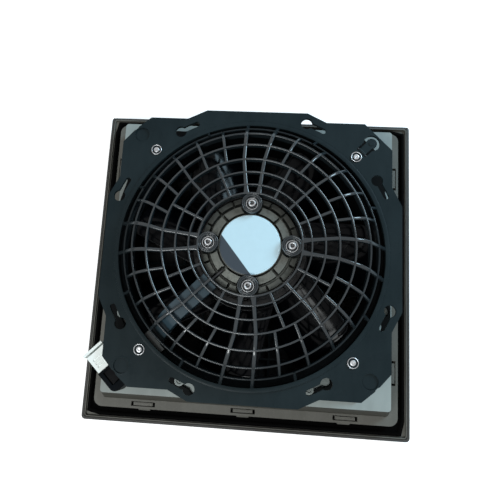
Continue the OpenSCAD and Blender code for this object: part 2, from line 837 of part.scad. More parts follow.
module plug_body() {
    t0 = holder_t0 - plug_gap;
    color(white) rotate([0, 0, 225]) difference() {
        union() {
            translate([plug_in, t0 - plug_len, plug_low])
                cube([plug_out - plug_in, plug_len, plug_top - plug_low]);
            translate([nose_in, t0 - 1, nose_low]) cube([nose_w, nose_len, nose_top - nose_low]);
        }
        // Contact chambers
        for (x = contact_x)
            translate([x - contact_w / 2 - contact_gap, t0 + nose_len - contact_len,
                contact_z - contact_h / 2 - contact_gap])
                cube([contact_w + 2 * contact_gap, contact_len + 2, contact_h + 2 * contact_gap]);
        // Grip grooves on top
        for (i = [0 : 2])
            translate([plug_in + 3, t0 - 5 - i * 3.2, plug_top - 0.8])
                cube([plug_out - plug_in - 6, 1.4, 2]);
        // Room for the lever's barrel
        translate([plug_in - 1, t0 - plug_len, plug_low]) rotate([0, 90, 0])
            cylinder(r = 2.6, h = plug_out - plug_in + 2);
    }
    color(white) rotate([0, 0, 225]) for (x = [plug_in, plug_out - 1.6])
        difference() {
            translate([x, t0 - plug_len - 1.8, plug_low - 1.6]) cube([1.6, 6, 6]);
            translate([x - 1, t0 - plug_len, plug_low]) rotate([0, 90, 0]) cylinder(r = 1.15, h = 4);
        }
}

module plug_lever() {
    t0 = holder_t0 - plug_gap - plug_len;
    x0 = plug_in + 1.6 + gap;
    w = plug_out - plug_in - 3.2 - 2 * gap;
    color([0.86, 0.87, 0.86]) rotate([0, 0, 225]) {
        translate([x0, t0, plug_low]) rotate([0, 90, 0]) cylinder(r = 1.8, h = w);
        translate([x0 - gap - 1, t0, plug_low]) rotate([0, 90, 0]) cylinder(r = 1.1, h = w + 2 * gap + 2);
        translate([x0, t0 - lever_gap - lever_t, plug_low - 1.2]) cube([w, lever_gap + lever_t, 2.4]);
        translate([x0, t0 - lever_gap - lever_t, plug_low - 1.2])
            cube([w, lever_t, plug_top - plug_low + 1.2]);
        translate([plug_in - 0.4, t0 - lever_gap - lever_t, plug_low + 6])
            cube([plug_out - plug_in + lever_wide, lever_t, plug_top - plug_low - 6]);
    }
}

// Motor

module motor_places() {
    for (q = [0, 90, 180, 270]) rotate([0, 0, q]) translate([motor_screw_at, 0, 0]) children();
}

module motor_screws() {
    z = washer_z + washer_t;
    color(silver) motor_places() difference() {
        union() {
            tube(0, head_r, z, z + head_h);
            tube(0, screw_r, flange_base + 1, z + 0.5);
        }
        translate([0, 0, z + head_h - 1.8]) cylinder(r = 1.75, h = 3, $fn = 6);
    }
}

module motor_washers() {
    color(silver) motor_places() tube(screw_r, washer_r, washer_z, washer_z + washer_t);
}

module stator_flange() {
    color(alu) difference() {
        union() {
            tube(0, motor_r, flange_base, flange_top);
            tube(0, 25.4, flange_top - 1, fin_top + 0.2);
            tube(26.4, 33.0, flange_top - 1, fin_top);
            tube(34.8, 39.6, flange_top - 1, fin_top - 1);
            tube(0, tube_r, tube_low, flange_top);
        }
        // Slots between the fins
        for (a = [45, 135, 225, 315])
            rotate([0, 0, a]) translate([25.4, -0.9, flange_top]) cube([8.6, 1.8, 20]);
        for (a = [24.5, 45, 65.5], q = [0, 90, 180, 270])
            rotate([0, 0, a + q]) translate([34, -0.6, flange_top]) cube([8, 1.2, 20]);
        // Room for the guard's bosses
        motor_places() tube(0, boss_r + 0.5, flange_top, fin_top + 5);
        motor_places() tube(0, screw_r, flange_base - 1, flange_top + 1);
        // Way out for the lead
        rotate([0, 0, 225]) translate([28, -2.2, flange_top + 0.8]) cube([14, 4.4, 20]);
        // Bearing seats and shaft room
        tube(0, bearing_r, tube_low - 1, tube_low + bearing_w);
        tube(0, bearing_r, bearing_top, bearing_top + bearing_w);
        tube(0, bearing_r - 2, tube_low - 1, can_top + 1);
        tube(0, shaft_r + 1, tube_low - 1, flange_base - 1);
    }
    color(alu) motor_places() tube(screw_r, pad_motor_r, flange_top - 0.5, boss_z);
}

module label_disc() {
    color(white) tube(0, label_r, fin_top + 0.2, fin_top + 0.7);
}

module circuit_board() {
    color([0.05, 0.20, 0.12]) tube(tube_r, board_r, board_low, board_low + board_t);
    color([0.08, 0.08, 0.08]) for (a = [10, 60, 130, 200, 250, 310])
        rotate([0, 0, a]) translate([26, -3, board_low - 3.8]) cube([6, 6, 3.9]);
}

module stator_core() {
    color(steel) {
        tube(tube_r, core_hub_r, core_low, core_low + core_h);
        for (a = [0 : 30 : 330]) rotate([0, 0, a]) {
            translate([core_hub_r - 1, -tooth_w / 2, core_low])
                cube([shoe_r + 1 - (core_hub_r - 1), tooth_w, core_h]);
            intersection() {
                tube(shoe_r, core_r, core_low, core_low + core_h);
                translate([core_hub_r, -shoe_w / 2, core_low - 1]) cube([core_r, shoe_w, core_h + 2]);
            }
        }
    }
}

module windings() {
    color(copper) for (a = [0 : 30 : 330]) rotate([0, 0, a]) difference() {
        translate([coil_in, -coil_w / 2, core_low - coil_end])
            cube([coil_len, coil_w, core_h + 2 * coil_end]);
        translate([coil_in - 1, -tooth_w / 2 - eps, core_low - eps])
            cube([coil_len + 2, tooth_w + 2 * eps, core_h + 2 * eps]);
    }
}

module bearings() {
    color(steel) for (z = [tube_low, bearing_top]) {
        tube(shaft_r + run_gap, shaft_r + bearing_t, z, z + bearing_w);
        tube(bearing_r - bearing_t, bearing_r, z, z + bearing_w);
        tube(shaft_r + bearing_t, bearing_r - bearing_t, z + 0.5, z + bearing_w - 0.5);
    }
}

module shaft() {
    color(silver) tube(0, shaft_r, can_low, can_top + 1);
}

module rotor_screw_places() {
    for (a = [30, 150, 270]) rotate([0, 0, a]) translate([rotor_screw_at, 0, 0]) children();
}

module rotor_can() {
    color([0.06, 0.06, 0.06]) difference() {
        tube(0, can_r, can_low, can_top);
        tube(0, can_r - can_t, can_low + can_t, can_top + 1);
        tube(0, shaft_r, can_low - 1, can_low + can_t + 1);
        rotor_screw_places() tube(0, rotor_screw_r, can_low - 1, can_low + can_t + 1);
    }
}

module magnets() {
    color([0.17, 0.16, 0.16]) difference() {
        tube(magnet_in, can_r - can_t, magnet_low, magnet_low + magnet_h);
        for (a = [0, 45, 90, 135])
            rotate([0, 0, a]) translate([0, 0, magnet_low + magnet_h / 2])
                cube([2 * can_r + 6, magnet_gap, magnet_h + 8], center = true);
    }
}

module blade() {
    intersection() {
        difference() {
            translate([0, camber_y, camber_z]) rotate([0, 90, 0])
                cylinder(r = camber_r + blade_t / 2, h = tip_r + 13);
            translate([-1, camber_y, camber_z]) rotate([0, 90, 0])
                cylinder(r = camber_r - blade_t / 2, h = tip_r + 15);
        }
        tube(hub_r - 1.5, tip_r, blade_low, blade_top);
        translate([72, 0, 0]) tube(0, 42, blade_low - 1, blade_top + 1);
        translate([40, -30, blade_low]) cube([80, 62, blade_top - blade_low]);
    }
}

module impeller() {
    color([0.05, 0.055, 0.06]) {
        tube(can_r + run_gap, hub_r, hub_low, hub_top);
        difference() {
            union() {
                tube(0, hub_r - 1, hub_low, hub_low + hub_t);
                tube(rotor_screw_at - 6, rotor_screw_at + 6, hub_low + hub_t - 1, can_low);
            }
            rotor_screw_places() tube(0, rotor_screw_r + 0.1, hub_low - 1, can_low + 1);
        }
        for (i = [0 : blades - 1]) rotate([0, 0, i * 360 / blades]) blade();
    }
}

module impeller_screws() {
    color(silver) rotor_screw_places() {
        tube(0, 2 * rotor_screw_r - 0.1, hub_low - 2, hub_low);
        tube(0, rotor_screw_r, hub_low - 1, can_low + can_t + 2);
    }
}

louvre_cover();
louvre_slats();
hinge_pins();
housing();
support_grid();
filter_mat();
foam_seal();
panel_clips();
fan_tray();
tray_studs();
base_flange();
fan_plate();
guard();
guard_shoulder();
lock_tongue();
tongue_pin();
rivets();
wall_ring();
cable_duct();
motor_lead();
plug_holder();
plug_socket();
socket_pins();
plug_body();
plug_lever();
motor_screws();
motor_washers();
stator_flange();
label_disc();
circuit_board();
stator_core();
windings();
bearings();
shaft();
rotor_can();
magnets();
impeller();
impeller_screws();
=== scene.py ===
"""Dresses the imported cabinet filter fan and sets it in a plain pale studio.

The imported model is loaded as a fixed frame.  Small classes then build the
moulded, woven and machined surfaces that the camera sees, each from its own
sizes in millimetres, and every surface gets a procedural material.
"""

import json
import logging
import math
from abc import ABC, abstractmethod
from dataclasses import dataclass
from enum import Enum
from typing import Sequence

import bmesh
import bpy
import numpy as np
from mathutils import Matrix, Vector

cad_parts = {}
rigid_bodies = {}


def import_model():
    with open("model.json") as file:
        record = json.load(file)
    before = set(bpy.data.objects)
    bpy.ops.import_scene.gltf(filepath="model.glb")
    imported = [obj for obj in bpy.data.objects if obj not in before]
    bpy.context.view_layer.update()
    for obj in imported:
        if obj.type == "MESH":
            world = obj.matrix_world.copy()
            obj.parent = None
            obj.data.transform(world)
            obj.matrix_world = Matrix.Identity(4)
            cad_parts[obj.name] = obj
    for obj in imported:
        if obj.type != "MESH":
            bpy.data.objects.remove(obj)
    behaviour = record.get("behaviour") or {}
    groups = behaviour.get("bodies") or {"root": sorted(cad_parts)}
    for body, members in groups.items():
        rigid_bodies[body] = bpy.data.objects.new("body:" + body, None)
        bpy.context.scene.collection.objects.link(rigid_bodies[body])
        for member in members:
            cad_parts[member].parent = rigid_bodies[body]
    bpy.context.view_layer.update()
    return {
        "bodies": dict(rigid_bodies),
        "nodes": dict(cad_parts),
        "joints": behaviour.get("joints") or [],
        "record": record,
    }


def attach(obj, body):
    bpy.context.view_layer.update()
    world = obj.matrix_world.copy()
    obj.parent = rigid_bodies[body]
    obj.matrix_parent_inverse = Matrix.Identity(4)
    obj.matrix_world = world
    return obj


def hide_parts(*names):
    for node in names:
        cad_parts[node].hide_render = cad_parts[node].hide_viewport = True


LOG = logging.getLogger("cabinet_fan")
MM = 0.001
FRAME_PX = 500.0
SENSOR_MM = 36.0
WELD = 2e-6
# Name of the attribute that marks where shade is painted into a metal's colour.
PAINTED_SHADE = "painted_shade"
QUARTERS = (0.0, 90.0, 180.0, 270.0)
EVEN = (1.0, 1.0, 1.0)

Array = np.ndarray
Colour = tuple[float, float, float]
Pair = tuple[float, float]
Profile = tuple[Pair, ...]
Triple = tuple[float, float, float]
Socket = bpy.types.NodeSocket


class Arithmetic(Enum):
    """How two shader values are combined."""

    ADD = "ADD"
    MULTIPLY = "MULTIPLY"
    MAXIMUM = "MAXIMUM"


class Axis(Enum):
    """An axis of the object coordinates."""

    X = "X"
    Y = "Y"
    Z = "Z"


class Look(Enum):
    """A finish, with the name that its material gets."""

    COVER_PLASTIC = "cover_plastic"
    HOUSING_PLASTIC = "housing_plastic"
    TRAY_PLASTIC = "tray_plastic"
    FILTER_FLEECE = "filter_fleece"
    FOAM = "foam"
    FAN_PLASTIC = "fan_plastic"
    GUARD_PLASTIC = "guard_plastic"
    SHADOWED_FLANGE_PLASTIC = "flange_plastic"
    DUCT_PLASTIC = "duct_plastic"
    HOLDER_PLASTIC = "holder_plastic"
    BLACK_PLASTIC = "black_plastic"
    WHITE_PLASTIC = "white_plastic"
    STEEL = "steel"
    BRIGHT_STEEL = "bright_steel"
    DARK_STEEL = "dark_steel"
    CAST_ALUMINIUM = "cast_aluminium"
    LABEL_FILM = "label_film"
    BOARD = "board"
    LAMINATION = "lamination"
    COPPER_WIRE = "copper_wire"
    CAN_PAINT = "can_paint"
    MAGNET = "magnet"
    CABLE_SHEATH = "cable_sheath"


# Shader graphs and finishes


def srgb(red: float, green: float, blue: float) -> Colour:
    """Turns a screen colour, each channel from 0 to 255, into the linear values that shaders use."""
    shares = (value / 255.0 for value in (red, green, blue))
    return tuple(c / 12.92 if c <= 0.04045 else ((c + 0.055) / 1.055) ** 2.4 for c in shares)


class Graph:
    """A material's node graph, with short calls for the usual nodes."""

    def __init__(self, name: str) -> None:
        """Starts an empty material.

        Args:
            name: Name of the material.
        """
        self.material = bpy.data.materials.new(name)
        self.material.use_nodes = True
        self.tree = self.material.node_tree
        self.tree.nodes.clear()
        self.shader = self.add("ShaderNodeBsdfPrincipled")
        self.output = self.add("ShaderNodeOutputMaterial")
        self.join(self.shader.outputs["BSDF"], self.output.inputs["Surface"])

    def add(self, kind: str, **settings: object) -> bpy.types.Node:
        """Adds a node.

        Args:
            kind: The node's type name.
            **settings: Properties to set on it.

        Returns:
            The new node.
        """
        made = self.tree.nodes.new(kind)
        for key, value in settings.items():
            setattr(made, key, value)
        return made

    def join(self, source: Socket, target: Socket) -> None:
        """Links an output socket to an input socket."""
        self.tree.links.new(source, target)

    def feed(self, target: Socket, value: float | Colour | Socket) -> None:
        """Links a socket or sets a constant on an input.

        Args:
            target: The input socket.
            value: A socket, a number or a colour.
        """
        if isinstance(value, Socket):
            self.join(value, target)
        elif isinstance(value, tuple):
            target.default_value = (*value, 1.0)
        else:
            target.default_value = value

    def place(self, stretch: Triple = EVEN) -> Socket:
        """Gives object coordinates in metres.

        Args:
            stretch: Factor along X, Y and Z.

        Returns:
            The vector socket.
        """
        coords = self.add("ShaderNodeTexCoord").outputs["Object"]
        if stretch == EVEN:
            return coords
        mapping = self.add("ShaderNodeMapping")
        self.join(coords, mapping.inputs["Vector"])
        mapping.inputs["Scale"].default_value = stretch
        return mapping.outputs["Vector"]

    def noise(
        self, size_mm: float, detail: float = 3.0, rough: float = 0.5, stretch: Triple = EVEN,
    ) -> Socket:
        """Adds a noise field.

        Args:
            size_mm: Width of its features.
            detail: Number of octaves.
            rough: Share of the finer octaves.
            stretch: Factor along X, Y and Z.

        Returns:
            A value from 0 to 1.
        """
        made = self.add("ShaderNodeTexNoise")
        self.join(self.place(stretch), made.inputs["Vector"])
        made.inputs["Scale"].default_value = 1000.0 / size_mm
        made.inputs["Detail"].default_value = detail
        made.inputs["Roughness"].default_value = rough
        return made.outputs["Fac"]

    def cells(self, size_mm: float) -> Socket:
        """Adds a field of cells.

        Args:
            size_mm: Width of a cell.

        Returns:
            The distance to the nearest cell's centre.
        """
        made = self.add("ShaderNodeTexVoronoi", feature="F1")
        self.join(self.place(), made.inputs["Vector"])
        made.inputs["Scale"].default_value = 1000.0 / size_mm
        return made.outputs["Distance"]

    def remap(self, value: Socket, low: float, high: float, to_low: float, to_high: float) -> Socket:
        """Maps a range of a value smoothly onto another.

        Args:
            value: The value.
            low: Start of its range.
            high: End of its range.
            to_low: Result at the start.
            to_high: Result at the end.

        Returns:
            The mapped value.
        """
        made = self.add("ShaderNodeMapRange", interpolation_type="SMOOTHSTEP")
        self.join(value, made.inputs["Value"])
        ends = {"From Min": low, "From Max": high, "To Min": to_low, "To Max": to_high}
        for key, number in ends.items():
            made.inputs[key].default_value = number
        return made.outputs["Result"]

    def blend(self, share: Socket, first: Colour | Socket, second: Colour | Socket) -> Socket:
        """Blends two colours.

        Args:
            share: Share of the second.
            first: A colour or socket.
            second: A colour or socket.

        Returns:
            The colour socket.
        """
        made = self.add("ShaderNodeMix", data_type="RGBA", blend_type="MIX")
        self.feed(made.inputs["Factor"], share)
        self.feed(made.inputs[6], first)
        self.feed(made.inputs[7], second)
        return made.outputs[2]

    def combine(self, how: Arithmetic, first: float | Socket, second: float | Socket) -> Socket:
        """Combines two values.

        Args:
            how: The arithmetic.
            first: A number or socket.
            second: A number or socket.

        Returns:
            The result.
        """
        made = self.add("ShaderNodeMath", operation=how.value)
        self.feed(made.inputs[0], first)
        self.feed(made.inputs[1], second)
        return made.outputs[0]

    def along(self, axis: Axis) -> Socket:
        """Gives one object coordinate.

        Args:
            axis: The axis.

        Returns:
            The coordinate in metres.
        """
        split = self.add("ShaderNodeSeparateXYZ")
        self.join(self.place(), split.inputs[0])
        return split.outputs[axis.value]

    def bump(self, value: Socket, depth_mm: float, strength: float = 1.0) -> None:
        """Adds relief on top of the relief that is there.

        Args:
            value: Height from 0 to 1.
            depth_mm: Height in millimetres at 1.
            strength: Strength of the relief.
        """
        made = self.add("ShaderNodeBump")
        made.inputs["Strength"].default_value = strength
        made.inputs["Distance"].default_value = depth_mm * MM
        self.join(value, made.inputs["Height"])
        link = self.shader.inputs["Normal"].links
        if link:
            self.join(link[0].from_socket, made.inputs["Normal"])
        self.join(made.outputs["Normal"], self.shader.inputs["Normal"])


class Finish(ABC):
    """A finish that becomes a procedural material."""

    def build(self, name: str) -> bpy.types.Material:
        """Makes the material.

        Args:
            name: Its name.

        Returns:
            The material.
        """
        graph = Graph(name)
        self.paint(graph)
        return graph.material

    @abstractmethod
    def paint(self, g: Graph) -> None:
        """Fills in the material's graph."""


@dataclass(frozen=True)
class PaintedShadeZone:
    """A painted shade: a darker colour and a lower shine that take over below a height.

    Attributes:
        start: Height in metres below which it is full.
        end: Height above which it is gone.
        colour: The colour.
        shine: Specular level there.
    """

    start: float
    end: float
    colour: Colour
    shine: float


@dataclass(frozen=True)
class Moulded(Finish):
    """Injection moulded plastic with a fine spark-eroded grain.

    Attributes:
        colour: Main colour.
        second: Colour of slow clouding.
        rough: Roughness.
        grain_mm: Width of the grain.
        grain_depth_mm: Depth of the grain.
        dust: Share of pale dust that lies on faces which look up.
        dust_colour: Colour of the dust.
        clouds_mm: Width of the clouding.
        shine: Specular level, where 0.5 is plain plastic.
        low: A painted shade of the lower part, if it has one.
        flow: Share of the paler marks that the flowing plastic left.
        wave_mm: Height of the slow waviness under the grain.
    """

    colour: Colour
    second: Colour
    rough: float = 0.5
    grain_mm: float = 0.7
    grain_depth_mm: float = 0.02
    dust: float = 0.0
    dust_colour: Colour = (0.35, 0.33, 0.29)
    clouds_mm: float = 60.0
    shine: float = 0.5
    low: PaintedShadeZone | None = None
    flow: float = 0.12
    wave_mm: float = 0.12

    def paint(self, g: Graph) -> None:
        """Fills in the material.

        Args:
            g: Its graph.
        """
        cloud = g.remap(g.noise(self.clouds_mm, 2.0), 0.35, 0.65, 0.0, 1.0)
        base = g.blend(cloud, self.colour, self.second)
        flow = g.remap(g.noise(9.0, 4.0, 0.6, (1.0, 0.35, 1.0)), 0.3, 0.7, 0.0, self.flow)
        base = g.blend(flow, base, tuple(min(1.0, c * 1.7 + 0.01) for c in self.colour))
        if self.dust > 0.0:
            normal = g.add("ShaderNodeSeparateXYZ")
            g.join(g.add("ShaderNodeNewGeometry").outputs["Normal"], normal.inputs[0])
            up = g.remap(normal.outputs["Z"], 0.6, 1.0, 0.0, self.dust)
            specks = g.remap(g.noise(2.2, 5.0, 0.75), 0.52, 0.72, 0.15, 1.0)
            base = g.blend(g.combine(Arithmetic.MULTIPLY, up, specks), base, self.dust_colour)
        g.shader.inputs["Specular IOR Level"].default_value = self.shine
        # Painted shade below a height: a darker colour and less shine.
        if self.low is not None:
            start, end = self.low.start, self.low.end
            base = g.blend(g.remap(g.along(Axis.Z), start, end, 1.0, 0.0), base, self.low.colour)
            shine = g.remap(g.along(Axis.Z), start, end, self.low.shine, self.shine)
            g.join(shine, g.shader.inputs["Specular IOR Level"])
        g.join(base, g.shader.inputs["Base Color"])
        rough = g.remap(g.noise(14.0, 3.0), 0.3, 0.7, self.rough - 0.05, self.rough + 0.07)
        g.join(rough, g.shader.inputs["Roughness"])
        g.shader.inputs["IOR"].default_value = 1.49
        g.bump(g.noise(self.grain_mm, 2.0, 0.6), self.grain_depth_mm)
        g.bump(g.noise(45.0, 1.0), self.wave_mm, 0.5)


@dataclass(frozen=True)
class Metal(Finish):
    """Bare or plated metal.

    Attributes:
        colour: Reflected colour.
        rough: Roughness.
        grain_mm: Width of the surface grain.
        depth_mm: Depth of the grain.
        stain: Colour of dull patches.
        patches: Share of that colour in a patch.
        stretch: Stretch of the grain, for brushed metal.
        shade_left: Share of the colour that is left where shade is painted.
    """

    colour: Colour
    rough: float
    grain_mm: float = 0.4
    depth_mm: float = 0.01
    stain: Colour = (0.2, 0.2, 0.2)
    patches: float = 0.6
    stretch: Triple = EVEN
    shade_left: float = 0.06

    def paint(self, g: Graph) -> None:
        """Fills in the material.

        Args:
            g: Its graph.
        """
        patch = g.remap(g.noise(5.0, 4.0, 0.6), 0.45, 0.75, 0.0, self.patches)
        # Painted shade: where the attribute is set, the colour falls towards a small share of itself.
        painted_shade = g.add("ShaderNodeAttribute", attribute_name=PAINTED_SHADE).outputs["Fac"]
        bright = g.blend(patch, self.colour, self.stain)
        shaded_colour = tuple(self.shade_left * c for c in self.colour)
        g.join(g.blend(painted_shade, bright, shaded_colour), g.shader.inputs["Base Color"])
        g.shader.inputs["Metallic"].default_value = 1.0
        rough = g.remap(g.noise(3.0, 4.0), 0.3, 0.7, self.rough - 0.06, self.rough + 0.1)
        g.join(rough, g.shader.inputs["Roughness"])
        g.bump(g.noise(self.grain_mm, 3.0, 0.6, self.stretch), self.depth_mm)


@dataclass(frozen=True)
class Fleece(Finish):
    """Loose bonded fibre.

    Attributes:
        colour: Colour of the fibre.
        shade: Colour between the fibres.
        relief_mm: Height of the fibres.
    """

    colour: Colour
    shade: Colour
    relief_mm: float = 0.8

    def paint(self, g: Graph) -> None:
        """Fills in the material.

        Args:
            g: Its graph.
        """
        strands = g.noise(1.6, 6.0, 0.75, (1.0, 0.35, 1.0))
        crossing = g.noise(1.4, 6.0, 0.75, (0.3, 1.0, 1.0))
        weave = g.combine(Arithmetic.MAXIMUM, strands, crossing)
        fibre = g.remap(weave, 0.42, 0.68, 0.0, 1.0)
        g.join(g.blend(fibre, self.shade, self.colour), g.shader.inputs["Base Color"])
        g.shader.inputs["Roughness"].default_value = 0.95
        g.shader.inputs["Sheen Weight"].default_value = 0.4
        g.bump(weave, self.relief_mm, 0.8)


@dataclass(frozen=True)
class Foam(Finish):
    """Poured foam with a closed skin and small pits.

    Attributes:
        colour: Colour of the skin.
        pit_mm: Width of a pit.
        pit_depth_mm: Its depth.
    """

    colour: Colour
    pit_mm: float = 0.9
    pit_depth_mm: float = 0.25

    def paint(self, g: Graph) -> None:
        """Fills in the material.

        Args:
            g: Its graph.
        """
        pits = g.remap(g.cells(self.pit_mm), 0.1, 0.55, 0.0, 1.0)
        # Painted shade in the pits: they fall to 0.45 of the skin's colour.
        pit_shade = tuple(c * 0.45 for c in self.colour)
        g.join(g.blend(pits, pit_shade, self.colour), g.shader.inputs["Base Color"])
        g.shader.inputs["Roughness"].default_value = 0.95
        g.shader.inputs["Specular IOR Level"].default_value = 0.04
        g.bump(pits, self.pit_depth_mm, 0.7)


@dataclass(frozen=True)
class LabelFilm(Finish):
    """A bare printed film: pale, with one plain darker segment and a soft gloss.

    Attributes:
        colour: The pale field.
        segment: The darker segment.
        slope: Shares of X and Y whose sum the segment's straight edge follows.
        edge: Sums in metres between which the segment ends.
        mottle: Share of a duller tone in the pale field.
        wave_mm: Height of the film's waviness.
    """

    colour: Colour
    segment: Colour
    slope: Pair = (0.78, 0.625)
    edge: Pair = (-0.0138, -0.0134)
    mottle: float = 0.12
    wave_mm: float = 0.06

    def paint(self, g: Graph) -> None:
        """Fills in the material.

        Args:
            g: Its graph.
        """
        across = g.combine(Arithmetic.MULTIPLY, g.along(Axis.X), self.slope[0])
        up = g.combine(Arithmetic.MULTIPLY, g.along(Axis.Y), self.slope[1])
        share = g.remap(g.combine(Arithmetic.ADD, across, up), *self.edge, 1.0, 0.0)
        mottle = g.remap(g.noise(6.0, 3.0), 0.3, 0.7, 0.0, self.mottle)
        pale = g.blend(mottle, self.colour, tuple(c * 0.8 for c in self.colour))
        g.join(g.blend(share, pale, self.segment), g.shader.inputs["Base Color"])
        g.shader.inputs["Roughness"].default_value = 0.32
        g.bump(g.noise(8.0, 2.0), self.wave_mm, 0.5)


FINISHES: dict[Look, Finish] = {
    Look.COVER_PLASTIC: Moulded(
        srgb(63, 62, 61), srgb(56, 55, 54), rough=0.55, grain_mm=0.6, grain_depth_mm=0.03,
        dust=0.12, shine=0.18,
    ),
    Look.HOUSING_PLASTIC: Moulded(srgb(92, 91, 86), srgb(85, 84, 79), rough=0.55, dust=0.15, shine=0.22),
    # The tray's walls below the deck's edge get a painted shade: darker and less shiny.
    Look.TRAY_PLASTIC: Moulded(
        srgb(141, 149, 147), srgb(133, 140, 138), dust=0.1, shine=0.3,
        low=PaintedShadeZone(0.0862, 0.0866, srgb(62, 61, 56), shine=0.02),
    ),
    Look.FILTER_FLEECE: Fleece(srgb(34, 34, 34), srgb(14, 14, 14)),
    Look.FOAM: Foam(srgb(2, 2, 2)),
    Look.FAN_PLASTIC: Moulded(
        srgb(29, 38, 41), srgb(25, 34, 37), rough=0.3, grain_mm=0.8, grain_depth_mm=0.01, shine=0.06,
    ),
    # Towards the foot the lower rings and bars get a painted shade: darker and less shiny.
    Look.GUARD_PLASTIC: Moulded(
        srgb(27, 35, 39), srgb(22, 30, 34), rough=0.15, grain_mm=0.8, grain_depth_mm=0.006, shine=0.56,
        low=PaintedShadeZone(0.140, 0.1535, srgb(27, 33, 36), shine=0.12),
    ),
    # Nearly black: a painted shade for the parts that lie deep under the plate.
    Look.SHADOWED_FLANGE_PLASTIC: Moulded(
        srgb(6, 8, 9), srgb(4, 6, 7), grain_mm=0.8, grain_depth_mm=0.01, shine=0.05,
    ),
    # The bluish colour is a painted reflection of the window's light; from 140 mm down it turns to a
    # painted shade.
    Look.DUCT_PLASTIC: Moulded(
        srgb(50, 67, 76), srgb(43, 58, 66), rough=0.35, grain_mm=0.8, grain_depth_mm=0.015, shine=0.25,
        low=PaintedShadeZone(0.120, 0.140, srgb(26, 29, 28), shine=0.25),
    ),
    Look.HOLDER_PLASTIC: Moulded(srgb(5, 9, 13), srgb(4, 7, 10), rough=0.35, shine=0.02),
    Look.BLACK_PLASTIC: Moulded(
        srgb(1, 2, 4), srgb(1, 2, 4), rough=0.12, grain_mm=0.8, grain_depth_mm=0.004, shine=0.08,
    ),
    Look.WHITE_PLASTIC: Moulded(
        srgb(243, 248, 245), srgb(236, 242, 239), rough=0.38, grain_mm=0.6, grain_depth_mm=0.008,
    ),
    Look.STEEL: Metal((0.40, 0.41, 0.42), 0.28, 0.5, 0.006, stain=(0.26, 0.26, 0.27)),
    Look.BRIGHT_STEEL: Metal((0.74, 0.76, 0.77), 0.3, 0.5, 0.006, stain=(0.5, 0.5, 0.5)),
    Look.DARK_STEEL: Metal((0.03, 0.032, 0.034), 0.45, 0.5, 0.006, stain=(0.02, 0.02, 0.02)),
    Look.CAST_ALUMINIUM: Metal(srgb(89, 91, 87), 0.55, 0.5, 0.06, stain=srgb(56, 57, 54)),
    Look.LABEL_FILM: LabelFilm(srgb(188, 215, 226), srgb(34, 47, 57)),
    Look.BOARD: Moulded(srgb(20, 70, 40), srgb(18, 60, 34), rough=0.35),
    Look.LAMINATION: Metal((0.32, 0.32, 0.34), 0.4, 0.5, 0.02, stretch=(0.05, 0.05, 6.0)),
    Look.COPPER_WIRE: Metal(
        (0.62, 0.29, 0.13), 0.35, 0.8, 0.05, stain=(0.35, 0.15, 0.06), stretch=(0.1, 0.1, 4.0),
    ),
    Look.CAN_PAINT: Moulded(
        srgb(14, 14, 15), srgb(10, 10, 11), rough=0.3, grain_mm=0.5, grain_depth_mm=0.01, shine=0.3,
    ),
    Look.MAGNET: Metal((0.1, 0.1, 0.1), 0.6, 0.5, 0.02, stain=(0.05, 0.05, 0.05)),
    Look.CABLE_SHEATH: Moulded(srgb(24, 24, 25), srgb(20, 20, 21), grain_mm=0.5, grain_depth_mm=0.01),
}

# The tongue pin's steel is darkened, a painted shade that keeps glints out of its slot; the washers take
# the brighter steel.
STEEL_SWAPS_AND_PAINTED_SHADE: dict[str, Look] = {"tongue_pin": Look.DARK_STEEL, "motor_washers": Look.BRIGHT_STEEL}


class Workshop:
    """Hands out materials by slot and dresses CAD nodes."""

    def __init__(self, frame: dict) -> None:
        """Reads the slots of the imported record.

        Args:
            frame: The loaded frame.
        """
        self.nodes: dict[str, bpy.types.Object] = frame["nodes"]
        self.slot_of: dict[str, str] = {s["node"]: s["material_slot"] for s in frame["record"]["subparts"]}
        groups: dict[str, list[str]] = frame["record"]["behaviour"]["bodies"]
        self.body_of: dict[str, str] = {node: body for body, nodes in groups.items() for node in nodes}
        self.made: dict[Look, bpy.types.Material] = {}

    def material(self, look: Look) -> bpy.types.Material:
        """Gives a finish's material.

        Args:
            look: The finish.

        Returns:
            The material, built once.
        """
        if look not in self.made:
            self.made[look] = FINISHES[look].build(look.value)
        return self.made[look]

    def piece(self, mesh: bpy.types.Mesh, node: str, look: Look | None = None) -> bpy.types.Object:
        """Puts a finished mesh into the scene, under its own name, in place of a CAD node.

        Args:
            mesh: The mesh, in place.
            node: The node that it stands for, whose body and material slot it takes.
            look: Its finish, if that isn't the one of its slot.

        Returns:
            The object.
        """
        made = bpy.data.objects.new(mesh.name, mesh)
        bpy.context.scene.collection.objects.link(made)
        mesh.materials.clear()
        mesh.materials.append(self.material(look or Look(self.slot_of[node])))
        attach(made, self.body_of[node])
        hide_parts(node)
        LOG.info("%s: %d faces, rides on %s", made.name, len(mesh.polygons), self.body_of[node])
        return made

    def dress(self) -> None:
        """Gives every CAD node its material."""
        for name, node in self.nodes.items():
            node.data.materials.clear()
            node.data.materials.append(self.material(STEEL_SWAPS_AND_PAINTED_SHADE.get(name, Look(self.slot_of[name]))))


# Surfaces


def turns(count: int) -> Array:
    """Gives evenly spaced angles of a full turn in radians, the last one a step short of the first."""
    return np.linspace(0.0, 2.0 * np.pi, count, endpoint=False)


def revolved(r: Array, turn: Array, z: Array) -> Array:
    """Gives the points (r cos t, r sin t, z), with a last axis of 3 on the arrays' common shape."""
    return np.stack(np.broadcast_arrays(r * np.cos(turn), r * np.sin(turn), z), axis=-1)


def on_circle(radius: float, degrees: float) -> Pair:
    """Gives X and Y of the place at an angle on a circle about the origin."""
    turn = math.radians(degrees)
    return radius * math.cos(turn), radius * math.sin(turn)


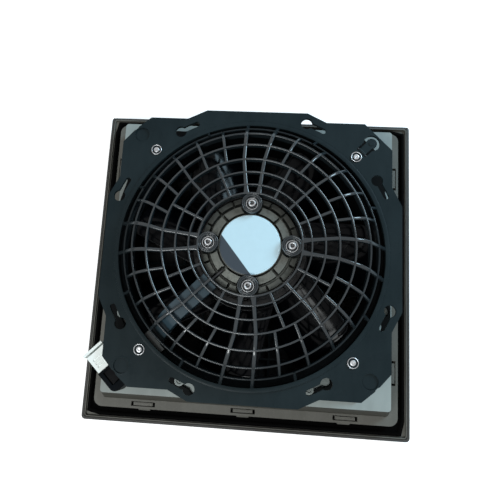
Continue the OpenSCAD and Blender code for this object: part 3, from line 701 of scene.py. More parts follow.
def read_points(mesh: bpy.types.Mesh) -> Array:
    """Reads a mesh's points.

    Args:
        mesh: The mesh.

    Returns:
        Points of shape (count, 3), in millimetres.
    """
    at = np.empty(len(mesh.vertices) * 3, np.float32)
    mesh.vertices.foreach_get("co", at)
    return at.reshape(-1, 3) / MM


class Surface:
    """Grids of points in millimetres, gathered into one mesh."""

    def __init__(self) -> None:
        """Starts with no points."""
        self.points: list[Array] = []
        self.faces: list[Array] = []
        self.count = 0

    def grid(self, points: Array, around: bool = False, along: bool = False) -> "Surface":
        """Adds a grid P(i, j) with one face for each of its cells.

        Args:
            points: Points of shape (rows, columns, 3).
            around: Whether the last column meets the first.
            along: Whether the last row meets the first.

        Returns:
            This surface.
        """
        rows, columns = points.shape[:2]
        index = np.arange(rows * columns).reshape(rows, columns) + self.count
        if along:
            index = np.vstack((index, index[:1]))
        if around:
            index = np.hstack((index, index[:, :1]))
        cells = np.stack((index[:-1, :-1], index[1:, :-1], index[1:, 1:], index[:-1, 1:]), axis=-1)
        self.points.append(points.reshape(-1, 3))
        self.faces.append(cells.reshape(-1, 4))
        self.count += rows * columns
        return self

    def cap(self, loop: Array) -> "Surface":
        """Adds one face inside a closed loop.

        Args:
            loop: Points of shape (count, 3).

        Returns:
            This surface.
        """
        self.faces.append(np.arange(len(loop))[None] + self.count)
        self.points.append(loop)
        self.count += len(loop)
        return self

    def stem(self, loops: Array) -> "Surface":
        """Adds closed sections, of shape (sections, count, 3), joined one to the next and capped."""
        return self.grid(loops, around=True).cap(loops[0]).cap(loops[-1])

    def ring(self, profile: Array, steps: int, centre: Pair = (0.0, 0.0)) -> "Surface":
        """Turns a closed profile of r and z about an upright axis: (cx + r cos t, cy + r sin t, z)."""
        points = revolved(profile[None, :, 0], turns(steps)[:, None], profile[None, :, 1])
        return self.grid(points + np.array((*centre, 0.0)), around=True, along=True)

    def mesh(self, name: str, crease: float = 40.0) -> bpy.types.Mesh:
        """Makes the mesh, with seams and poles closed and faces outwards.

        Args:
            name: Name of the mesh.
            crease: Angle in degrees past which an edge stays sharp.

        Returns:
            The mesh.
        """
        made = bpy.data.meshes.new(name)
        faces = [face for block in self.faces for face in block.tolist()]
        made.from_pydata((np.vstack(self.points) * MM).tolist(), [], faces)
        work = bmesh.new()
        work.from_mesh(made)
        bmesh.ops.remove_doubles(work, verts=work.verts, dist=WELD)
        bmesh.ops.dissolve_degenerate(work, edges=work.edges, dist=WELD)
        bmesh.ops.recalc_face_normals(work, faces=work.faces)
        work.to_mesh(made)
        work.free()
        made.shade_smooth()
        made.set_sharp_from_angle(angle=math.radians(crease))
        return made


def paint_shade(mesh: bpy.types.Mesh, places: Sequence[Pair], radii: Pair, heights: Pair, amount: float) -> None:
    """Marks where shade is painted: an amount within a range of radius and height about each axis, else 0.

    Args:
        mesh: The mesh.
        places: X and Y of each axis in millimetres.
        radii: Least and greatest marked radius in millimetres.
        heights: Lowest and highest marked height in millimetres.
        amount: The amount from 0 to 1.
    """
    x, y, z = read_points(mesh).T
    off = np.min([np.hypot(x - centre_x, y - centre_y) for centre_x, centre_y in places], axis=0)
    inside = (off > radii[0]) & (off < radii[1]) & (z > heights[0]) & (z < heights[1])
    layer = mesh.attributes.new(PAINTED_SHADE, "FLOAT", "POINT")
    layer.data.foreach_set("value", amount * inside.astype(np.float32))


def rounded(corners: Sequence[Pair] | Array, radius: float, steps: int) -> Array:
    """Rounds the corners of a closed outline.

    Between the cuts A and B at a corner C it runs
    (1 - t)^2 A + 2 t (1 - t) C + t^2 B.

    Args:
        corners: Corners in order.
        radius: Length cut from each side of a corner.
        steps: Points of each corner.

    Returns:
        The outline of shape (count, 2).
    """
    at = np.asarray(corners, float)
    back, on = np.roll(at, 1, 0) - at, np.roll(at, -1, 0) - at
    long_back, long_on = (np.linalg.norm(v, axis=1, keepdims=True) for v in (back, on))
    cut = np.minimum(radius, 0.45 * np.minimum(long_back, long_on))
    first, last = at + back / long_back * cut, at + on / long_on * cut
    t = np.linspace(0.0, 1.0, steps)[None, :, None]
    bend = (1 - t) ** 2 * first[:, None] + 2 * t * (1 - t) * at[:, None] + t**2 * last[:, None]
    return bend.reshape(-1, at.shape[1])


def box_outline(across: Pair, up: Pair, radius: float, steps: int) -> Array:
    """Gives a rectangle with round corners, from its two ends along each axis."""
    corners = [(across[0], up[0]), (across[1], up[0]), (across[1], up[1]), (across[0], up[1])]
    return rounded(corners, radius, steps)


def pill(count: int, power: float) -> Array:
    """Gives the superellipse |a|^p + |b|^p = 1.

    Args:
        count: Points round it.
        power: The power p; 2 is round and more is squarer.

    Returns:
        The outline of shape (count, 2).
    """
    t = turns(count) + np.pi / count
    pair = np.stack((np.cos(t), np.sin(t)), axis=-1)
    return np.sign(pair) * np.abs(pair) ** (2.0 / power)


def spun(points: Array, degrees: float, about: Pair = (0.0, 0.0)) -> Array:
    """Turns points about an upright axis.

    Args:
        points: Points of shape (..., 3).
        degrees: The turn.
        about: Place of the axis.

    Returns:
        The turned points.
    """
    c, s = math.cos(math.radians(degrees)), math.sin(math.radians(degrees))
    x, y = points[..., 0] - about[0], points[..., 1] - about[1]
    return np.stack((about[0] + c * x - s * y, about[1] + s * x + c * y, points[..., 2]), axis=-1)


def square_loops(halves: Array, radii: Array, heights: Array, steps: int) -> Array:
    """Gives square loops with round corners, one above or round the other.

    Corner q of a loop is (h - r) (sign x, sign y) + r (cos t, sin t), with t over
    its quarter turn.

    Args:
        halves: Half widths.
        radii: Corner radii.
        heights: Heights.
        steps: Points of each corner.

    Returns:
        Points of shape (loops, 4 x steps, 3).
    """
    quarter = np.radians(QUARTERS)[:, None]
    t = quarter + np.linspace(0.0, np.pi / 2, steps)[None]
    sign_x, sign_y = np.sign(np.cos(quarter + np.pi / 4)), np.sign(np.sin(quarter + np.pi / 4))
    h, r = halves[:, None, None], radii[:, None, None]
    x, y = (h - r) * sign_x + r * np.cos(t), (h - r) * sign_y + r * np.sin(t)
    z = heights[:, None, None] + 0.0 * x
    return np.stack((x, y, z), axis=-1).reshape(len(halves), -1, 3)


def ripple(first: Array, second: Array, waves: Sequence[Triple]) -> Array:
    """Adds up waves (a, u, v), sum of a sin(u x + v y + u v), a relief with no repeat that shows."""
    return sum(a * np.sin(u * first + v * second + u * v) for a, u, v in waves)


# Sub-assemblies


class Part(ABC):
    """Something that is built in place of one or more CAD nodes."""

    @abstractmethod
    def build(self, shop: Workshop) -> None:
        """Makes its pieces with the workshop's help."""


@dataclass(frozen=True)
class Dish:
    """A round groove whose outer wall leans out at its top.

    Attributes:
        at: Place of the axis in millimetres.
        radius: Radius of the outer wall.
        height: Height of its upper edge.
        lean: How far that edge moves out.
        near: How far a point of the edge may lie off that radius and that height.
    """

    at: Pair
    radius: float = 7.5
    height: float = 123.0
    lean: float = 1.1
    near: Pair = (0.12, 0.05)

    def press(self, mesh: bpy.types.Mesh) -> None:
        """Moves the wall's upper edge out along its radius.

        Args:
            mesh: The mesh that has the groove.
        """
        at = read_points(mesh)
        off = at[:, :2] - np.asarray(self.at)
        r = np.hypot(off[:, 0], off[:, 1])
        edge = (np.abs(r - self.radius) < self.near[0]) & (np.abs(at[:, 2] - self.height) < self.near[1])
        at[:, :2] += np.where(edge, self.lean / np.maximum(r, 1e-6), 0.0)[:, None] * off
        mesh.vertices.foreach_set("co", (at * MM).ravel())


@dataclass(frozen=True)
class Mould(Part):
    """A moulded part whose edges are rounded all over.

    Attributes:
        node: The CAD node that it follows.
        edge_mm: Width of the rounding.
        steps: Steps of the rounding.
        look: Its finish, if that isn't the one of its slot.
        dishes: Grooves whose outer walls lean out.
        flat_degrees: Angle under which two faces are one.
        crease_degrees: Angle past which an edge is rounded.
    """

    node: str
    edge_mm: float
    steps: int = 2
    look: Look | None = None
    dishes: tuple[Dish, ...] = ()
    flat_degrees: float = 0.6
    crease_degrees: float = 32.0

    def build(self, shop: Workshop) -> None:
        """Makes the part as a merged copy of its node, with live Bevel.

        Args:
            shop: The workshop.
        """
        mesh = shop.nodes[self.node].data.copy()
        mesh.name = f"{self.node}_moulded"
        work = bmesh.new()
        work.from_mesh(mesh)
        bmesh.ops.remove_doubles(work, verts=work.verts, dist=WELD)
        flat = math.radians(self.flat_degrees)
        bmesh.ops.dissolve_limit(work, angle_limit=flat, verts=work.verts, edges=work.edges)
        work.to_mesh(mesh)
        work.free()
        for dish in self.dishes:
            dish.press(mesh)
        mesh.shade_smooth()
        made = shop.piece(mesh, self.node, self.look)
        bevel = made.modifiers.new("edges", "BEVEL")
        bevel.width = self.edge_mm * MM
        bevel.segments = self.steps
        bevel.limit_method = "ANGLE"
        bevel.angle_limit = math.radians(self.crease_degrees)
        even = made.modifiers.new("even", "WEIGHTED_NORMAL")
        even.mode = "FACE_AREA"
        even.weight = 90
        even.keep_sharp = True


@dataclass(frozen=True)
class RingGuard(Part):
    """The domed ring guard: round-topped rings and bars, screw bosses and a foot.

    Attributes:
        top: Height of the flat part.
        rings: Inner radius, outer radius, underside and top of each ring, below the top.
        crown: Knots of the upper line of a bar, as radius and drop.
        belly: Matching knots of its lower line.
        inner_angles: Bars between the first and the fourth ring, in each quarter.
        outer_angles: Swept bars outside the fourth ring, in each quarter.
        pair_half: Half angle between two paired bars.
        stub_at: Angle of the stubs between the last ring and the foot.
        sweep: Sweep of the outer bars in degrees.
        hinge_r: Radius about which they sweep.
        bar_w: Width of a bar.
        pair_w: Width of a paired bar.
        boss_at: Radius of the circle of bosses.
        taper: Draft of each side of a ring over its whole height.
        inner_span: Inner and outer radius of an inner bar.
        pair_span: Inner and outer radius of the inner part of a paired bar.
        outer_end_r: Outer radius of a swept bar.
        foot_end_r: Outer radius of a swept paired bar and of a stub.
        lap: How far a swept bar starts inside the radius about which it sweeps.
        flare: Share that a paired bar is wider by at its root.
        flare_run: Length over which that share falls off.
        soften: Half width of the window that eases a bend, in knots.
        level_knots: Knots that stay sharp at the inner end.
        squareness: Power of the superellipse that is a bar's section.
        bar_rows: Sections of a bar.
        around: Steps of a ring's full turn.
        boss_profile: Profile of a boss, as radius and height above the top.
        foot: Radius and height of the ring at the guard's foot, start and end of each.
    """

    top: float = 155.0
    rings: tuple[tuple[float, float, float, float], ...] = (
        (40.8, 42.8, -6.0, 1.0),
        (48.3, 50.2, -4.0, 0.3),
        (59.0, 61.0, -4.0, 0.0),
        (70.0, 72.1, -4.6, 0.0),
        (82.6, 84.7, -4.6, -0.6),
        (95.7, 97.9, -15.0, -8.4),
        (105.2, 107.4, -28.5, -21.2),
    )
    crown: Profile = (
        (40.0, 0.0), (84.0, -0.6), (92.0, -4.0), (98.0, -8.9),
        (103.0, -15.6), (107.5, -22.0), (111.4, -27.0), (114.6, -31.1),
    )
    belly: Profile = (
        (40.0, -4.0), (82.0, -4.6), (89.0, -6.2), (94.0, -9.6),
        (98.4, -15.4), (102.6, -21.5), (107.4, -27.5), (110.4, -31.8),
    )
    inner_angles: tuple[float, ...] = (25.0, 45.0, 65.0)
    outer_angles: tuple[float, ...] = (18.5, 32.0, 45.0, 58.0, 71.5)
    pair_half: float = 6.7
    stub_at: float = 25.0
    sweep: float = 8.0
    hinge_r: float = 71.0
    bar_w: float = 2.6
    pair_w: float = 3.3
    boss_at: float = 33.5
    taper: float = 0.3
    inner_span: Pair = (41.8, 71.0)
    pair_span: Pair = (41.0, 71.6)
    outer_end_r: float = 106.6
    foot_end_r: float = 114.6
    lap: float = 0.6
    flare: float = 0.9
    flare_run: float = 4.0
    soften: float = 0.32
    level_knots: float = 0.9
    squareness: float = 3.2
    bar_rows: int = 30
    around: int = 180
    boss_profile: Profile = (
        (2.3, -7.0), (8.3, -7.0), (8.3, 0.5), (7.4, 0.5), (7.3, -0.1),
        (6.8, -0.1), (6.7, 0.5), (5.9, 0.5), (5.9, -3.0), (2.3, -3.0),
    )
    foot: tuple[Pair, Pair] = ((113.6, 117.4), (123.0, 124.7))

    def line(self, knots: Profile, along: Array) -> Array:
        """Samples a bent line and eases its corners, as the mean over a short window.

        Args:
            knots: Radius and drop at whole numbers.
            along: Places along the line.

        Returns:
            Points of shape (count, 2).
        """
        at = np.asarray(knots, float)
        window = np.linspace(-self.soften, self.soften, 9)[:, None]
        places = np.clip(along[None] + window * (along[None] > self.level_knots), 0.0, len(at) - 1.0)
        return np.stack([np.interp(places, np.arange(len(at)), at[:, k]).mean(0) for k in (0, 1)], axis=-1)

    def bar(self, start_r: float, end_r: float, width: float, flare: float = 0.0) -> Array:
        """Carries a superellipse between the upper and lower line of a bar.

        P(s, k) = ((1 - b) B(s) + b T(s), a w / 2), with r kept between the ends and the
        width w grown by f exp((start - r) / run) at the root.

        Args:
            start_r: Inner radius.
            end_r: Outer radius.
            width: Width of the bar.
            flare: Share f added at the root.

        Returns:
            Sections of shape (sections, count, 3), along X.
        """
        radii = np.asarray(self.crown)[:, 0]
        ends = np.interp((start_r, end_r + 1.0), radii, np.arange(len(radii)))
        along = np.linspace(ends[0], min(ends[1] + 0.6, len(radii) - 1.0), self.bar_rows)
        upper, lower = self.line(self.crown, along), self.line(self.belly, along)
        shape = pill(16, self.squareness)
        b = (shape[:, 1] * 0.5 + 0.5)[None, :, None]
        mixed = (1 - b) * lower[:, None] + b * upper[:, None]
        r = np.clip(mixed[..., 0], start_r, end_r)
        y = shape[None, :, 0] * width / 2 * (1.0 + flare * np.exp((start_r - r) / self.flare_run))
        return np.stack((r, y, self.top + mixed[..., 1]), axis=-1)

    def swept(self, start_r: float, end_r: float, width: float) -> Array:
        """Gives a bar's sections, swept back about the sweep's radius."""
        return spun(self.bar(start_r, end_r, width), -self.sweep, (self.hinge_r, 0.0))

    def ring_section(self, inner: float, outer: float, low: float, high: float) -> Array:
        """Gives the section of a ring: drafted sides under a crowned top with a bevel inside.

        With the slope a run from -84 to 84 degrees the top is x = sum R cos a, z = -sum R sin a,
        where R is 1.6 on the bevel at -35 degrees, 0.35 from -28 to -7, 1 from 0 to 35 and 0.22
        elsewhere; it is scaled to the width.

        Args:
            inner: Inner radius at the foot.
            outer: Outer radius at the foot.
            low: Height of the underside.
            high: Height of the crown.

        Returns:
            The outline of shape (count, 2).
        """
        slope = np.radians(np.linspace(-84.0, 84.0, 25))
        ends = [slope < math.radians(end) for end in (-41.0, -29.0, -1.0, 36.0)]
        steps = np.select(ends, [0.22, 1.6, 0.35, 1.0], 0.22)
        x, z = np.cumsum(steps * np.cos(slope)), -np.cumsum(steps * np.sin(slope))
        wide = outer - inner - 2.0 * self.taper
        scale = wide / (x[-1] - x[0])
        top = np.stack((inner + self.taper + (x - x[0]) * scale, high + (z - z.max()) * scale), axis=-1)
        return np.concatenate((((outer, low), (inner, low)), top))[::-1]

    def build(self, shop: Workshop) -> None:
        """Makes the guard in place of its two nodes.

        Args:
            shop: The workshop.
        """
        made = Surface()
        for inner, outer, low, high in self.rings:
            made.ring(self.ring_section(inner, outer, self.top + low, self.top + high), self.around)
        inner_bar = self.bar(*self.inner_span, self.bar_w)
        inner_pair = self.bar(*self.pair_span, self.pair_w, self.flare)
        outer_bar = self.swept(self.hinge_r - self.lap, self.outer_end_r, self.bar_w)
        outer_pair = self.swept(self.hinge_r - self.lap, self.foot_end_r, self.pair_w)
        stub = self.swept(self.rings[-1][0] + 1.0, self.foot_end_r, self.bar_w)
        boss = rounded([(r, self.top + z) for r, z in self.boss_profile], 0.35, 4)
        for quarter in QUARTERS:
            for angle in self.inner_angles:
                made.stem(spun(inner_bar, quarter + angle))
            for angle in self.outer_angles:
                made.stem(spun(outer_bar, quarter + angle))
            for side in (-1.0, 1.0):
                made.stem(spun(inner_pair, quarter + side * self.pair_half))
                made.stem(spun(outer_pair, quarter + side * self.pair_half))
                made.stem(spun(stub, quarter + side * self.stub_at))
            made.ring(boss, 48, on_circle(self.boss_at, quarter))
        shop.piece(made.mesh("ring_guard", 50.0), "guard", Look.GUARD_PLASTIC)
        foot = Surface().ring(box_outline(*self.foot, 0.5, 3), self.around)
        shop.piece(foot.mesh("guard_foot", 50.0), "guard_shoulder")


@dataclass(frozen=True)
class Impeller(Part):
    """Seven cambered blades on a hub that is pressed on the rotor can.

    Attributes:
        blades: Number of blades.
        camber_at: Y and Z of the axis of the camber's arc.
        camber_r: Radius of that arc.
        arc: Start and end of the blade on the arc, in degrees.
        thick: Greatest thickness.
        root_r: Radius at the hub.
        tip_r: Radius at the tip.
        trim: Place and radius of the round outline of the tip.
        tip_share: Share of the blade's length over which its tip rounds off.
        thinning: Share of the thickness lost from root to tip.
        hub: Profile of the hub, as radius and height.
        screw_land: Profile of the land that the screws go into.
        collar: Profile of the collar on the shaft.
        screw_at: Radius of the circle of screws.
        screw_angles: Angles of the screws.
        screw: Profile of a screw.
    """

    blades: int = 7
    camber_at: Pair = (43.8, 36.5)
    camber_r: float = 71.3
    arc: Pair = (158.6, 99.6)
    thick: float = 2.5
    root_r: float = 49.4
    tip_r: float = 106.8
    trim: Pair = (72.0, 42.0)
    tip_share: float = 0.03
    thinning: float = 0.25
    hub: Profile = ((47.05, 69.4), (47.05, 112.0), (50.5, 112.0), (50.5, 66.0), (14.5, 66.0), (14.5, 69.4))
    screw_land: Profile = ((16.0, 69.0), (28.0, 69.0), (28.0, 80.0), (16.0, 80.0))
    collar: Profile = ((4.05, 66.0), (15.0, 66.0), (15.0, 69.0), (4.05, 69.0))
    screw_at: float = 22.0
    screw_angles: tuple[float, ...] = (30.0, 150.0, 270.0)
    screw: Profile = ((0.0, 64.0), (2.9, 64.0), (2.9, 66.0), (1.5, 66.0), (1.5, 84.9), (0.0, 84.9))

    def blade(self) -> Array:
        """Gives one blade as closed sections from root to tip.

        On the arc at angle q the middle line is y = cy + R cos q, z = cz + R sin q, and the
        faces lie (t / 2) sqrt(1 - (2v - 1)^4) off it along the radius of the arc.  X runs
        from sqrt(root^2 - y^2) to the least of sqrt(tip^2 - y^2) and c + sqrt(m^2 - y^2).

        Returns:
            Sections of shape (sections, count, 3).
        """
        turn = turns(56)
        v = 0.5 - 0.5 * np.cos(turn)
        side = np.sign(np.sin(turn)) * np.sqrt(np.clip(1.0 - (2.0 * v - 1.0) ** 4, 0.0, 1.0))
        q = np.radians(self.arc[0] + (self.arc[1] - self.arc[0]) * v)
        middle_y = self.camber_at[0] + self.camber_r * np.cos(q)
        start = np.sqrt(np.clip(self.root_r**2 - middle_y**2, 0.0, None))
        centre, reach = self.trim
        trimmed = centre + np.sqrt(np.clip(reach**2 - middle_y**2, 0.0, None))
        outer = np.minimum(np.sqrt(self.tip_r**2 - middle_y**2), trimmed)
        tip = 1.0 - self.tip_share
        last = 1.0 - self.tip_share * np.array((0.6, 0.3, 0.1, 0.0))
        u = np.concatenate((np.linspace(0.0, tip, 22), last))[:, None]
        rolled = np.clip((u - tip) / (self.tip_share + 0.001), 0.0, 1.0)
        slim = np.sqrt(np.clip(1.0 - rolled**2, 0.02, 1.0)) * (1.0 - self.thinning * u)
        off = self.camber_r + side[None] * slim * self.thick / 2
        x = start[None] + u * (outer - start)[None]
        y, z = self.camber_at[0] + off * np.cos(q), self.camber_at[1] + off * np.sin(q)
        return np.stack((x, y, z), axis=-1)

    def build(self, shop: Workshop) -> None:
        """Makes the impeller and its screws.

        Args:
            shop: The workshop.
        """
        made = Surface()
        blade = self.blade()
        for index in range(self.blades):
            made.stem(spun(blade, index * 360.0 / self.blades))
        made.ring(rounded(self.hub, 1.2, 5), 160)
        made.ring(rounded(self.screw_land, 0.4, 3), 72)
        made.ring(np.asarray(self.collar), 48)
        shop.piece(made.mesh("impeller_blades", 35.0), "impeller")
        screws = Surface()
        for angle in self.screw_angles:
            screws.ring(rounded(self.screw, 0.4, 4), 32, on_circle(self.screw_at, angle))
        shop.piece(screws.mesh("impeller_screw_set"), "impeller_screws")


@dataclass(frozen=True)
class MotorFace(Part):
    """The cast motor flange with two rings of pads, and its bare round label.

    Attributes:
        flange_z: Height of the flange's face.
        hub: Radius and height of the round land under the label.
        pads: Inner radius, outer radius and height of each ring of pads.
        slot_angles: Angles of the slots of each ring, in each quarter.
        slot_half: Half widths of the slots of each ring.
        pad_fall: How far a pad falls from its inner to its outer edge.
        boss_at: Radius of the circle of screws.
        boss_pad: Radius and height of the land under a boss.
        boss_room: Radius of the hollow round it.
        lead_at: Angle of the groove for the lead.
        lead_half: Half width of that groove.
        lead_from: Radius at which it starts.
        flange_r: Radius of the flange.
        row_step: Distance between the rows of the face.
        around: Steps of a full turn of the face.
        body: Rows of the closed underside, as radius and height.
        shaded_pad_r: Radii between which shade is painted on the pads.
        label_r: Radius of the label.
        label_z: Heights of the label's two faces.
        label_edge: Width of its rounded cut edge.
    """

    flange_z: float = 143.0
    hub: Pair = (25.4, 150.5)
    pads: tuple[Triple, ...] = ((26.4, 33.0, 150.3), (34.8, 39.6, 149.3))
    slot_angles: tuple[tuple[float, ...], ...] = ((45.0,), (24.5, 45.0, 65.0))
    slot_half: Pair = (0.9, 0.6)
    pad_fall: float = 0.9
    boss_at: float = 33.5
    boss_pad: Pair = (7.4, 148.0)
    boss_room: float = 8.8
    lead_at: float = 225.0
    lead_half: float = 2.2
    lead_from: float = 28.0
    flange_r: float = 40.0
    row_step: float = 0.55
    around: int = 1080
    body: Profile = (
        (40.0, 142.6), (40.0, 139.3), (39.7, 139.0), (14.0, 139.0), (14.0, 84.0),
        (11.0, 84.0), (11.0, 91.0), (9.0, 91.0), (9.0, 129.0), (11.0, 129.0),
        (11.0, 136.0), (9.0, 136.0), (9.0, 137.0), (0.0, 137.0),
    )
    shaded_pad_r: Pair = (34.2, 50.0)
    label_r: float = 24.5
    label_z: Pair = (150.5, 151.0)
    label_edge: float = 0.3

    @staticmethod
    def inside(distance: Array, draft: float = 0.35) -> Array:
        """Turns a depth d inside an edge into a step, clip(d / draft, 0, 1), eased at both ends."""
        t = np.clip(distance / draft, 0.0, 1.0)
        return t * t * (3.0 - 2.0 * t)

    def relief(self, r: Array, turn: Array) -> Array:
        """Gives the height of the cast face.

        z = flange + the greatest of the lands' rises, each times its drafted steps.

        Args:
            r: Radius.
            turn: Angle in radians.

        Returns:
            The height.
        """
        x, y = r * np.cos(turn), r * np.sin(turn)
        rise = (self.hub[1] - self.flange_z) * self.inside(self.hub[0] - r)
        quarter = np.mod(turn, np.pi / 2)
        bosses = [on_circle(self.boss_at, angle) for angle in QUARTERS]
        near = np.min([np.hypot(x - boss_x, y - boss_y) for boss_x, boss_y in bosses], axis=0)
        for (inner, outer, top), slots, half in zip(self.pads, self.slot_angles, self.slot_half):
            step = self.inside(r - inner) * self.inside(outer - r) * self.inside(near - self.boss_room)
            for slot in slots:
                step = step * self.inside(np.abs(quarter - math.radians(slot)) * r - half, 0.3)
            fall = self.pad_fall * (r - inner) / (outer - inner)
            rise = np.maximum(rise, (top - fall - self.flange_z) * step)
        land = (self.boss_pad[1] - self.flange_z) * self.inside(self.boss_pad[0] - near)
        off = turn - math.radians(self.lead_at)
        groove = self.inside(self.lead_half - np.abs(r * np.sin(off))) * (np.cos(off) > 0.0)
        skin = 0.05 * ripple(x, y, ((0.4, 0.7, 0.2), (0.3, -0.3, 0.9)))
        rise = rise * (1.0 - groove * self.inside(r - self.lead_from)) + skin
        return self.flange_z + np.maximum(rise, land)

    def row_radii(self) -> Array:
        """Gives the radii of the face's rows: even steps, and closer ones at each edge of a land.

        Returns:
            The radii, growing.
        """
        edges = np.array([self.hub[0], *(edge for pad in self.pads for edge in pad[:2])])
        near = (edges[:, None] + np.array((-0.36, -0.18, 0.0, 0.18, 0.36))[None]).ravel()
        middle = np.arange(0.0, self.hub[0] - 0.4, 5.0)
        rows = np.arange(self.hub[0] + 0.2, self.flange_r - 0.3, self.row_step)
        return np.unique(np.round(np.concatenate((middle, rows, near, (self.flange_r,))), 3))

    def build(self, shop: Workshop) -> None:
        """Makes the face and the label.

        Args:
            shop: The workshop.
        """
        r, turn = np.broadcast_arrays(self.row_radii()[:, None], turns(self.around)[None])
        face = revolved(r, turn, self.relief(r, turn))
        face[-1, :, 2] = np.minimum(face[-1, :, 2], self.flange_z)
        rows = np.asarray(self.body)
        skirt = revolved(rows[:, :1], turns(120)[None], rows[:, 1:])
        rim = np.stack((face[-1], face[-1] - np.array((0.0, 0.0, self.flange_z - rows[0, 1]))))
        made = Surface().grid(face, around=True).grid(skirt, around=True).grid(rim, around=True)
        casting = made.mesh("motor_face", 30.0)
        # Painted shade on the outer ring of pads and the flange's rim.
        paint_shade(casting, [(0.0, 0.0)], self.shaded_pad_r, (self.flange_z - 1.0, self.label_z[1]), 0.4)
        shop.piece(casting, "stator_flange")
        self.label(shop)

    def label(self, shop: Workshop) -> None:
        """Makes the label: z = top + a low ripple, with a rounded cut edge.

        Args:
            shop: The workshop.
        """
        (low, high), edge = self.label_z, self.label_edge
        flat = np.linspace(0.0, self.label_r - edge, 26)
        r = np.concatenate((flat, self.label_r - edge * np.array((0.5, 1.0 / 6.0, 0.0))))[:, None]
        top = revolved(r, turns(160)[None], high - 0.06)
        top[..., 2] += 0.03 * ripple(top[..., 0], top[..., 1], ((1.0, 0.21, 0.13), (0.6, -0.17, 0.29)))
        top[..., 2] -= 0.2 * np.clip((r - self.label_r + edge) / edge, 0.0, 1.0) ** 2
        bottom = top[[-1, 0]].copy()
        bottom[..., 2] = low
        made = Surface().grid(np.concatenate((top, bottom)), around=True)
        shop.piece(made.mesh("label_film", 50.0), "label_disc")


@dataclass(frozen=True)
class Fasteners(Part):
    """Rivets, motor screws with sockets, and their washers.

    Attributes:
        rivet_at: Radius of the circle of rivets.
        screw_at: Radius of the circle of motor screws.
        rivet: Profile of a rivet's head and stem, as radius and height.
        rivet_rim: Profile of the rim round the head.
        washer: Profile of a washer under the screw's head.
        washer_rim: Profile of the washer's raised rim.
        head: Profile of a screw with its socket.
        socket_r: Radii between which shade is painted in the socket.
        socket_z: Heights between which it is painted.
    """

    rivet_at: float = 88.2 * math.sqrt(2.0)
    screw_at: float = 33.5
    rivet: Profile = (
        (0.0, 124.1), (1.5, 124.28), (2.3, 124.1), (2.65, 123.5),
        (2.65, 123.0), (2.4, 123.0), (2.4, 111.0), (0.0, 111.0),
    )
    rivet_rim: Profile = ((3.85, 123.0), (3.85, 124.0), (4.2, 124.28), (4.6, 124.1), (4.95, 123.0))
    washer: Profile = ((2.05, 152.0), (3.5, 152.0), (3.5, 152.8), (2.05, 152.8))
    washer_rim: Profile = (
        (4.2, 152.0), (5.5, 152.0), (5.45, 152.15), (5.05, 152.5), (4.75, 152.8), (4.3, 152.75),
    )
    head: Profile = (
        (1.65, 153.6), (1.65, 155.75), (1.85, 156.0), (2.75, 156.0), (3.7, 154.6),
        (3.7, 153.4), (3.3, 152.8), (2.0, 152.8), (2.0, 140.0), (0.0, 140.0), (0.0, 153.4),
    )
    socket_r: Pair = (-1.0, 1.72)
    socket_z: Pair = (152.0, 155.4)

    def build(self, shop: Workshop) -> None:
        """Makes the fasteners as turned profiles.

        Args:
            shop: The workshop.
        """
        rivets, screws, washers = Surface(), Surface(), Surface()
        spots = [on_circle(self.screw_at, angle) for angle in QUARTERS]
        for angle, spot in zip(QUARTERS, spots):
            for outline in (self.rivet, self.rivet_rim):
                rivets.ring(rounded(outline, 0.2, 4), 48, on_circle(self.rivet_at, angle + 45.0))
            for outline in (self.washer, self.washer_rim):
                washers.ring(rounded(outline, 0.2, 4), 48, spot)
            screws.ring(rounded(self.head, 0.25, 4), 48, spot)
        shop.piece(rivets.mesh("rivet_set"), "rivets")
        bolts = screws.mesh("motor_screw_set")
        # Painted shade in the screws' sockets.
        paint_shade(bolts, spots, self.socket_r, self.socket_z, 0.9)
        shop.piece(bolts, "motor_screws")
        shop.piece(washers.mesh("motor_washer_set"), "motor_washers", Look.BRIGHT_STEEL)


@dataclass(frozen=True)
class Louvre(Part):
    """The leaning slats of the cover and the two uprights behind them.

    Attributes:
        half: Half width of the opening.
        count: Number of slats.
        thick: Thickness of a slat along Y.
        depth: Depth of the slats.
        lean: How far a slat leans over its depth.
        first_y: Start of the first slat from the opening's edge.
        upright_w: Width of an upright.
        upright_low: Height of its front.
        edge: Rounding of the long edges.
    """

    half: float = 138.0
    count: int = 14
    thick: float = 2.6
    depth: float = 11.7
    lean: float = 0.68
    first_y: float = 4.0
    upright_w: float = 4.0
    upright_low: float = 2.0
    edge: float = 0.6

    def build(self, shop: Workshop) -> None:
        """Makes the slats, each a rounded parallelogram drawn out along X, and the uprights.

        Args:
            shop: The workshop.
        """
        made = Surface()
        lean = self.lean * self.depth
        corners = [(0.0, 0.0), (self.thick, 0.0), (self.thick + lean, self.depth), (lean, self.depth)]
        side = rounded(corners, self.edge, 4)
        ends = np.array((-self.half, self.half))
        pitch = (2.0 * self.half - self.first_y) / self.count
        for index in range(self.count):
            y = np.minimum(side[:, 0] - self.half + self.first_y + index * pitch, self.half - 0.01)
            made.stem(np.stack(np.broadcast_arrays(ends[:, None], y, side[:, 1]), axis=-1))
        half_w = self.upright_w / 2
        bar = box_outline((-half_w, half_w), (self.upright_low, self.depth), self.edge, 4)
        for centre in (-self.half / 3, self.half / 3):
            made.stem(np.stack(np.broadcast_arrays(bar[:, 0] + centre, ends[:, None], bar[:, 1]), axis=-1))
        shop.piece(made.mesh("louvre_blades"), "louvre_slats")


